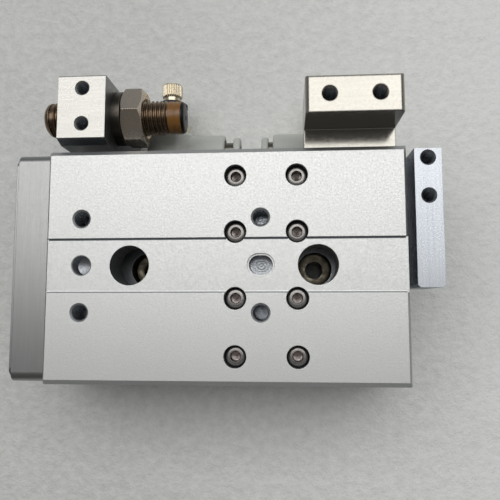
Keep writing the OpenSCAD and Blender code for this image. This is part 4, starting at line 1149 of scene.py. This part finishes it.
@dataclass
class Table:
    """The table plate, its end plate, carriages, stopper and pistons.

    Attributes:
        dresser: Puts finishes on CAD nodes.
        mounts: The record's mounts by name.
        head: Diameter of a carriage screw's head.
        head_height: Height of that head.
        key: Width of its hexagon socket.
        shank: Diameter of its shank.
        pitch_x: Distance of a carriage's screws along the table.
        pitch_y: Their distance across it.
        guide_span: Distance between the two guides.
        deck: Height of the floor of the table's recess.
        step_y: Distance from the middle to the steps beside the recess.
        fillet: Radius of the fillet at their feet.
        fillet_steps: Faces of a fillet.
        fillet_lift: How far the fillets stand off the plate.
        fillet_ends: Distances of the fillets from the plate's two ends.
        seat_radius: Radius of the screw seats that cut the fillets.
        locating_floor: Height of the floor of the locating hole and slot.
        locating_corner: Width of the broken corner round that floor.
        locating_top: Distance from its walls' upper ends to the deck.
        slot_half: Half of the distance that draws the slot out.
        ring_step: Distance between the points of the slot's ringed floor.
        ring_pitch: Distance between its rings.
        ring_height: Half of their height.
        ring_rim: Distance from the outermost ring to the wall.
    """

    dresser: Dresser
    mounts: dict[str, dict]
    head: float = 4.5
    head_height: float = 2.5
    key: float = 2.0
    shank: float = 2.4
    pitch_x: float = 13.0
    pitch_y: float = 12.0
    guide_span: float = 26.0
    deck: float = 31.5
    step_y: float = 5.8
    fillet: float = 0.42
    fillet_steps: int = 6
    fillet_lift: float = 0.01
    fillet_ends: tuple[float, float] = (0.5, 0.3)
    seat_radius: float = 2.37
    locating_floor: float = 28.0
    locating_corner: float = 0.1
    locating_top: float = 0.45
    slot_half: float = 0.5
    ring_step: float = 0.08
    ring_pitch: float = 0.56
    ring_height: float = 0.018
    ring_rim: float = 0.7

    def dress(self) -> None:
        """Gives the table's nodes their finishes."""
        d = self.dresser
        d.wear(BLASTED, "table_plate")
        d.wear(PLATE_GREY, "end_plate")
        d.wear(SCREW, "end_plate_screws", "rod_end_screws", "stopper_screws", "carriage_screws")
        d.wear(RAIL, "carriage_port_side", "carriage_plain_side", "bearing_balls", "piston_rods")
        d.wear(DARK_RESIN, "carriage_end_caps")
        d.wear(BLACKED, "carriage_seals", "piston_magnets")
        d.wear(ANODISED, "pistons")
        d.wear(RUBBER, "piston_seals")
        d.wear(GROUND, "stopper_block")

    def build(self) -> None:
        """Adds the carriage screws, the threads of the tapped holes, the seats and the fillets."""
        self._carriage_screws()
        for name, mount, axis, pitch, depth in (
            ("workpiece_threads", "table_threads", Axis.PLUS_Z, 0.7, 6.2),
            ("stopper_threads", "stopper_threads", Axis.PLUS_Z, 0.5, 8.0),
            ("front_threads", "front_threads", Axis.PLUS_X, 0.7, 6.0),
        ):
            TappedHoles(name, "table", self.mounts[mount], axis, pitch, depth).build()
        self._locating_seats()
        self._step_fillets()

    def _carriage_screws(self) -> None:
        """Makes the finely made cap screws in place of the plain CAD node, and their dark sockets."""
        low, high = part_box("carriage_screws")
        length = (high.z - low.z) / MM - self.head_height
        screw = Mesher.socket_head(self.head, self.head_height, self.key, self.shank, length)
        values = {
            "Columns": 2, "Rows": 2, "Column pitch": self.pitch_x * MM, "Row pitch": self.pitch_y * MM,
            "Groups": 2, "Group pitch": self.guide_span * MM,
            "Place": ((low.x + high.x) / 2, 0.0, high.z - self.head_height * MM),
        }
        for name, shape, finish, replaced in (
            ("carriage_cap_screws", screw, SCREW, ("carriage_screws",)),
            ("carriage_screw_sockets", Mesher.key_socket(self.key, self.head_height), SOCKET, ()),
        ):
            piece = Trees.grow(name, Trees.pattern(), values, finish, shapes=[shape])
            attach(piece, "table", finish, *replaced)

    def _step_fillets(self) -> None:
        """Rounds the foot of both steps beside the recess, between the screw seats that cut them; the
        port-side fillet wears a painted shadow.
        """
        low, high = (v.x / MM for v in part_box("table_plate"))
        middle = sum(v.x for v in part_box("carriage_screws")) / 2 / MM
        row_y = (self.guide_span - self.pitch_y) / 2
        chord = math.sqrt(self.seat_radius**2 - (row_y - self.step_y + self.fillet / 2) ** 2)
        cuts = [middle + side * self.pitch_x / 2 + end * chord for side in (-1, 1) for end in (-1, 1)]
        ends = [low + self.fillet_ends[0], *cuts, high - self.fillet_ends[1]]
        turns = [math.pi / 2 * i / self.fillet_steps for i in range(self.fillet_steps + 1)]
        middle_y = self.step_y - self.fillet_lift - self.fillet
        middle_z = self.deck + self.fillet_lift + self.fillet
        arc = [(middle_y + self.fillet * math.sin(a), middle_z - self.fillet * math.cos(a)) for a in turns]
        # The port side takes the painted shadow of its step.
        for name, side, finish in (
            ("recess_fillet_port_side", -1, SHADED), ("recess_fillet_plain_side", 1, BLASTED),
        ):
            shape = bmesh.new()
            for span in zip(ends[::2], ends[1::2]):
                near, far = (
                    [shape.verts.new(Vector((x, side * y, z)) * MM) for y, z in arc] for x in span[::side]
                )
                for i in range(self.fillet_steps):
                    shape.faces.new((near[i], far[i], far[i + 1], near[i + 1]))
            attach(Mesher.mesh_object(name, [shape], finish, SOFT_DEG), "table", finish)

    def _locating_seats(self) -> None:
        """Turns the floor of the locating hole and the ringed floor of the locating slot."""
        hole, rows = self.mounts["table_locating_hole"], self.mounts["table_threads"]
        radius, floor = hole["dims"]["r_mm"] - SKIN, self.locating_floor + SKIN
        waves = 2 * math.pi * self.ring_step / self.ring_pitch
        rings = [
            (SKIN + self.ring_step * i, floor + self.ring_height * (1 + math.cos(waves * i)))
            for i in range(int((radius - self.ring_rim) / self.ring_step))
        ]
        corner = self.locating_corner
        wall = [(radius - corner, floor), (radius, floor + corner), (radius, self.deck - self.locating_top)]
        front = hole["pos_m"][0] / MM
        rear = front - rows["dims"]["spacing_x_mm"]
        # The bored floors wear painted shade.
        Bowls("locating_seats", "table", BORED).build(
            (front, [(SKIN, floor)] + wall, 0.0), (rear, rings + wall, self.slot_half),
        )


@dataclass
class StrokeAdjuster:
    """The urethane-tipped stop bolt with its lock nut and washer.

    Attributes:
        dresser: Puts finishes on CAD nodes.
        pitch: Pitch of the bolt's thread.
        depth: Depth of the thread.
        crown: Length of the bolt's end beyond the thread.
        face: Radius of the flat in the middle of its other end.
        turn_points: Points along a turn of the thread.
        around: Points around it.
        steps: Faces around the bolt's core.
        key: Width of its hexagon socket.
        key_depth: Depth of the socket's flats.
        key_tip: Depth of the point below them.
        key_mouth: Radius of the socket's mouth.
        key_rim: Height of its broken rim.
        button: Thickness of the dark button on the cushion's end.
        crease: Depth of the button's recess and of the rounding round it.
        groove: Depth of the groove in the cushion.
    """

    dresser: Dresser
    pitch: float = 1.0
    depth: float = 0.5
    crown: float = 1.6
    face: float = 1.6
    turn_points: int = 12
    around: int = 97
    steps: int = 72
    key: float = 4.0
    key_depth: float = 3.6
    key_tip: float = 4.0
    key_mouth: float = 2.4
    key_rim: float = 0.35
    button: float = 0.7
    crease: float = 0.12
    groove: float = 0.1

    def dress(self) -> None:
        """Gives the adjuster's nodes their finishes."""
        for finish, name in (
            (BRONZED, "adjuster_bolt"), (BLACKED, "adjuster_tip"), (OXIDE, "lock_washer"), (NUT, "lock_nut"),
            (URETHANE, "adjuster_cushion"),
        ):
            self.dresser.wear(finish, name)

    def build(self) -> None:
        """Makes the threaded bolt in place of its plain CAD node, then the cushion and its button."""
        low, high = (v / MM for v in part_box("adjuster_bolt"))
        length, radius = high.x - low.x, (high.z - low.z) / 2
        start = (low.x, (low.y + high.y) / 2, (low.z + high.z) / 2)
        root, thread_end, run_in = radius - self.depth, length - self.crown, 0.1
        core = Mesher.lathe([
            (0.0, 0.0), (self.face, 0.0), (root - run_in, 0.0), (root, run_in), (root, thread_end),
            (radius, thread_end + run_in), (radius - 0.2, length - 0.9), (radius - 0.9, length - 0.3),
            (radius - 1.8, length), (self.key_mouth, length),
        ], self.steps)
        shapes = [Mesher.place(shape, Axis.PLUS_X, start) for shape in (core, self._socket(length))]
        bolt = Mesher.mesh_object("adjuster_bolt_core", shapes, BRONZED)
        attach(bolt, "adjuster_screw", BRONZED, "adjuster_bolt")
        thread = Trees.grow("adjuster_bolt_thread", Trees.thread(), {
            "Length": (thread_end - run_in) * MM, "Pitch": self.pitch * MM, "Crest radius": radius * MM,
            "Root radius": root * MM, "Run out": self.pitch / 2 * MM, "Around": self.around,
            "Along": int(thread_end / self.pitch * self.turn_points) + 1, "Turn": Axis.PLUS_X.value,
            "Place": tuple(v * MM for v in start),
        }, BRONZED, SOFT_DEG)
        attach(thread, "adjuster_screw", BRONZED)
        self._buffer()

    def _buffer(self) -> None:
        """Turns the amber cushion, which ends where the bolt starts, and the dark button on its end."""
        tip, cushion = ([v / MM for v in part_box(name)] for name in ("adjuster_tip", "adjuster_cushion"))
        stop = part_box("adjuster_bolt")[0].x / MM
        start, radius, length = tip[0].x, (cushion[1].z - cushion[0].z) / 2, stop - tip[0].x
        at = (start, (tip[0].y + tip[1].y) / 2, (tip[0].z + tip[1].z) / 2)
        button, crease, inner = self.button, self.crease, radius - self.groove
        cap = Mesher.lathe([
            (0.0, crease), (0.5, crease), (0.6, 0.0), (radius - 0.9, 0.0), (radius - 0.4, crease),
            (radius - 0.15, 0.4), (radius - 0.1, button), (0.0, button),
        ])
        sleeve = Mesher.lathe([
            (0.0, button), (radius - crease, button), (radius, button + 0.15), (radius, length * 0.55),
            (inner, length * 0.6), (inner, length * 0.66), (radius, length * 0.71), (radius, length - 0.1),
            (0.0, length),
        ])
        for name, shape, finish, node in (
            ("adjuster_button", cap, BLACKED, "adjuster_tip"),
            ("adjuster_cushion_sleeve", sleeve, URETHANE, "adjuster_cushion"),
        ):
            piece = Mesher.mesh_object(name, [Mesher.place(shape, Axis.PLUS_X, at)], finish)
            attach(piece, "adjuster_end", finish, node)

    def _socket(self, length: float) -> Shape:
        """Walls and floor of the bolt's hexagon socket.

        Args:
            length: Length of the bolt, where the socket's mouth is.

        Returns:
            The socket, along +Z.
        """
        shape, corner = bmesh.new(), self.key / math.sqrt(3)
        Mesher.skin(shape, Mesher.rings(shape, [
            (0.0, length - self.key_tip), (corner, length - self.key_depth), (corner, length - self.key_rim),
            (self.key_mouth, length),
        ], 6), inwards=True)
        return shape


@dataclass
class FlowControl:
    """One elbow speed controller.

    Attributes:
        dresser: Puts finishes on CAD nodes.
        side: "front" or "rear", as in the CAD nodes' names.
        knob_height: Height of the knurled knob.
        ridges: Number of its ridges.
        ridge_depth: Depth of the valleys between them.
        chamfer: Width of the knob's broken ends.
        steps: Faces around the needle and the band.
        shaft: Radius of the needle's shaft.
        collar: Radius of the collar under the knob.
        flange: Thickness of the release ring's flange.
        neck_radius: Radius of its neck.
    """

    dresser: Dresser
    side: str
    knob_height: float = 3.5
    ridges: int = 26
    ridge_depth: float = 0.32
    chamfer: float = 0.3
    steps: int = 48
    shaft: float = 1.55
    collar: float = 2.1
    flange: float = 1.7
    neck_radius: float = 2.6

    def dress(self) -> None:
        """Gives the controller's nodes their finishes."""
        for finish, names in (
            (CHAMPAGNE, ("flow_stem", "needle", "knob")), (COLLET, ("collet",)),
            (RESIN, ("elbow", "release_ring")), (BLACKED, ("needle_nut",)), (RUBBER, ("needle_ring",)),
        ):
            self.dresser.wear(finish, *(f"{self.side}_{name}" for name in names))

    def build(self) -> None:
        """Makes the needle with its knurled knob in place of the plain CAD nodes, then the neck's band."""
        needle, knob = f"{self.side}_needle", f"{self.side}_knob"
        low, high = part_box(knob)[0] / MM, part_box(needle)[1] / MM
        radius, length = (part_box(knob)[1].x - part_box(knob)[0].x) / 2 / MM, high.y - low.y
        centre = (low.x + radius, high.y, low.z + radius)
        foot, shaft, collar, dome = length - self.knob_height, self.shaft, self.collar, radius - 0.35
        stem = Mesher.lathe([
            (0.0, 0.0), (0.3, 0.0), (1.0, 2.0), (shaft, 2.0), (shaft, foot - 1.0), (collar, foot - 1.0),
            (collar, foot), (radius - 0.3, foot), (dome, foot + 0.1), (dome, length - 0.05),
            (radius - 0.6, length), (1.2, length), (1.1, length - 0.2), (0.0, length - 0.2),
        ], self.steps)
        core = Mesher.mesh_object(f"{needle}_core", [Mesher.place(stem, Axis.MINUS_Y, centre)], CHAMPAGNE)
        sleeve = Trees.grow(f"{knob}_knurl", Trees.knurl(), {
            "Length": self.knob_height * MM, "Radius": radius * MM, "Depth": self.ridge_depth * MM,
            "Ridges": self.ridges, "Chamfer": self.chamfer * MM, "Turn": Axis.MINUS_Y.value,
            "Place": (centre[0] * MM, (high.y - foot) * MM, centre[2] * MM),
        }, CHAMPAGNE, 50.0)
        attach(core, needle, CHAMPAGNE, needle, knob)
        attach(sleeve, needle, CHAMPAGNE)
        self._neck_band()

    def _neck_band(self) -> None:
        """Wraps a plated band round the release ring's neck, from its flange to the barrel."""
        ring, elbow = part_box(f"{self.side}_release_ring"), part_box(f"{self.side}_elbow")
        if self.side == "front":
            start, stop = ring[0].x / MM + self.flange, elbow[0].x / MM
        else:
            start, stop = elbow[1].x / MM, ring[1].x / MM - self.flange
        _, y, z = (ring[0] + ring[1]) / 2 / MM
        inner, outer, length = self.neck_radius, self.neck_radius + 0.03, stop - start
        profile = [(inner, 0.0), (outer, SKIN), (outer, length - SKIN), (inner, length)]
        band = Mesher.place(Mesher.lathe(profile, self.steps), Axis.PLUS_X, (start, y, z))
        obj = Mesher.mesh_object(f"{self.side}_neck_band", [band], COLLET)
        attach(obj, f"{self.side}_release", COLLET)


# ---------------------------------------------------------------------------------------------------------
# Stage


@dataclass
class Studio:
    """Floor, lamp, world and camera.

    Attributes:
        floor_colour: Middle display colour of the floor sheet.
        floor_spread: How far its grain moves that colour either way.
        floor_drop: How far the sheet lies below the object, in millimetres.
        cell_scale: Scale of the sheet's grain.
        fold_scale: Scale of its soft folds.
        fold_share: Height of the folds against the grain's.
        relief: Height of the grain, in millimetres.
        fade: The X where the painted light on the sheet starts and the X where it is full, in metres.
        painted_light_share: How far the painted light makes the sheet paler.
        lamp_at: Where the lamp hangs, in metres.
        lamp_aim: The point that it faces.
        lamp_size: Its width and height.
        lamp_watts: Its power.
        window_side: Display colour of the world on the lamp's side.
        room_side: Display colour of the world on the other side.
        glow: Strength of the world's light.
        camera_at: The camera's place, in millimetres.
        camera_back: The way that its back faces.
        camera_right: The way that its right side faces.
        lens: Its focal length, for a sensor 36 mm wide.
    """

    floor_colour: Colour = (0.862, 0.862, 0.845)
    floor_spread: float = 0.1
    floor_drop: float = 0.05
    cell_scale: float = 420.0
    fold_scale: float = 60.0
    fold_share: float = 1.6
    relief: float = 0.6
    fade: tuple[float, float] = (0.03, -0.09)
    painted_light_share: float = 0.6
    lamp_at: tuple[float, float, float] = (0.0, -0.43, 1.08)
    lamp_aim: tuple[float, float, float] = (0.0, 0.0, 0.02)
    lamp_size: tuple[float, float] = (2.00, 0.82)
    lamp_watts: float = 9.9
    window_side: Colour = (0.80, 0.82, 0.84)
    room_side: Colour = (0.58, 0.58, 0.57)
    glow: float = 0.42
    camera_at: tuple[float, float, float] = (-13.5, 8.03, 144.5)
    camera_back: tuple[float, float, float] = (-0.0680, 0.0980, 0.9936)
    camera_right: tuple[float, float, float] = (-0.998, 0.001, -0.0623)
    lens: float = 39.02

    def build(self) -> None:
        """Sets the whole stage."""
        self._floor()
        self._lamp()
        self._world()
        self._camera()

    def _floor(self) -> None:
        """Lays the pale floor sheet, painted paler towards -X as light."""
        shape = bmesh.new()
        bmesh.ops.create_grid(shape, x_segments=4, y_segments=4, size=1.5)
        floor = Mesher.mesh_object("floor", [Mesher.place(shape, Axis.PLUS_Z, (0.0, 0.0, -self.floor_drop))])
        mat = bpy.data.materials.new("Pale foam sheet")
        mat.use_nodes = True
        pen = NodePen(mat.node_tree)
        place = pen.node("ShaderNodeTexCoord").outputs["Object"]
        cells = pen.noise(place, self.cell_scale, 5.0, 0.7)
        folds = pen.noise(place, self.fold_scale, 1.0)
        along = pen.node("ShaderNodeSeparateXYZ", {0: place}).outputs["X"]
        # Painted light makes the sheet paler towards -X, over its grain.
        tone = pen.math("MULTIPLY_ADD", pen.ramp(along, *self.fade), self.painted_light_share, cells)
        dim, pale = (linear(tuple(c + way * self.floor_spread for c in self.floor_colour)) for way in (-1, 1))
        height = pen.math("MULTIPLY_ADD", folds, self.fold_share, cells)
        pen.feed(mat.node_tree.nodes["Principled BSDF"], {
            "Roughness": 0.6,
            "Base Color": pen.blend(tone, dim, pale),
            "Normal": pen.bump(height, self.relief * MM),
        })
        floor.data.materials.append(mat)

    def _lamp(self) -> None:
        """Hangs an oblong soft lamp that faces the object."""
        data = bpy.data.lights.new("Window", "AREA")
        data.shape = "RECTANGLE"
        data.size, data.size_y = self.lamp_size
        data.energy = self.lamp_watts
        lamp = bpy.data.objects.new("Window", data)
        lamp.location = self.lamp_at
        view = Vector(self.lamp_aim) - Vector(self.lamp_at)
        lamp.rotation_euler = view.to_track_quat("-Z", "Y").to_euler()
        bpy.context.scene.collection.objects.link(lamp)

    def _world(self) -> None:
        """Gives the world a pale light from the window side and a dimmer one from the room."""
        world = bpy.data.worlds.new("Studio")
        world.use_nodes = True
        pen = NodePen(world.node_tree)
        place = pen.node("ShaderNodeTexCoord").outputs["Generated"]
        side = pen.ramp(pen.node("ShaderNodeSeparateXYZ", {0: place}).outputs["Y"], -0.6, 0.5)
        light = pen.blend(side, linear(self.window_side), linear(self.room_side))
        pen.feed(world.node_tree.nodes["Background"], {"Strength": self.glow, "Color": light})
        bpy.context.scene.world = world

    def _camera(self) -> None:
        """Sets the camera almost straight above the table."""
        data = bpy.data.cameras.new("Camera")
        data.lens = self.lens
        data.sensor_width = 36.0
        data.clip_start = 0.01
        camera = bpy.data.objects.new("Camera", data)
        back, right = Vector(self.camera_back).normalized(), Vector(self.camera_right).normalized()
        up = back.cross(right).normalized()
        turn = Matrix((up.cross(back).normalized(), up, back)).transposed()
        camera.matrix_world = Matrix.Translation(tuple(v * MM for v in self.camera_at)) @ turn.to_4x4()
        bpy.context.scene.collection.objects.link(camera)
        bpy.context.scene.camera = camera


def main() -> None:
    """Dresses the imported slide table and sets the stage."""
    logging.basicConfig(level=logging.INFO, format="%(name)s: %(message)s")
    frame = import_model()
    bpy.context.scene.view_settings.view_transform = "Standard"
    dresser = Dresser(frame["nodes"])
    mounts = {mount["name"]: mount for mount in frame["record"]["mounts"]}
    for assembly in (
        CylinderBase(dresser, mounts), Table(dresser, mounts), StrokeAdjuster(dresser),
        FlowControl(dresser, "front"), FlowControl(dresser, "rear"),
    ):
        assembly.dress()
        assembly.build()
    Studio().build()


if __name__ == "__main__":
    main()
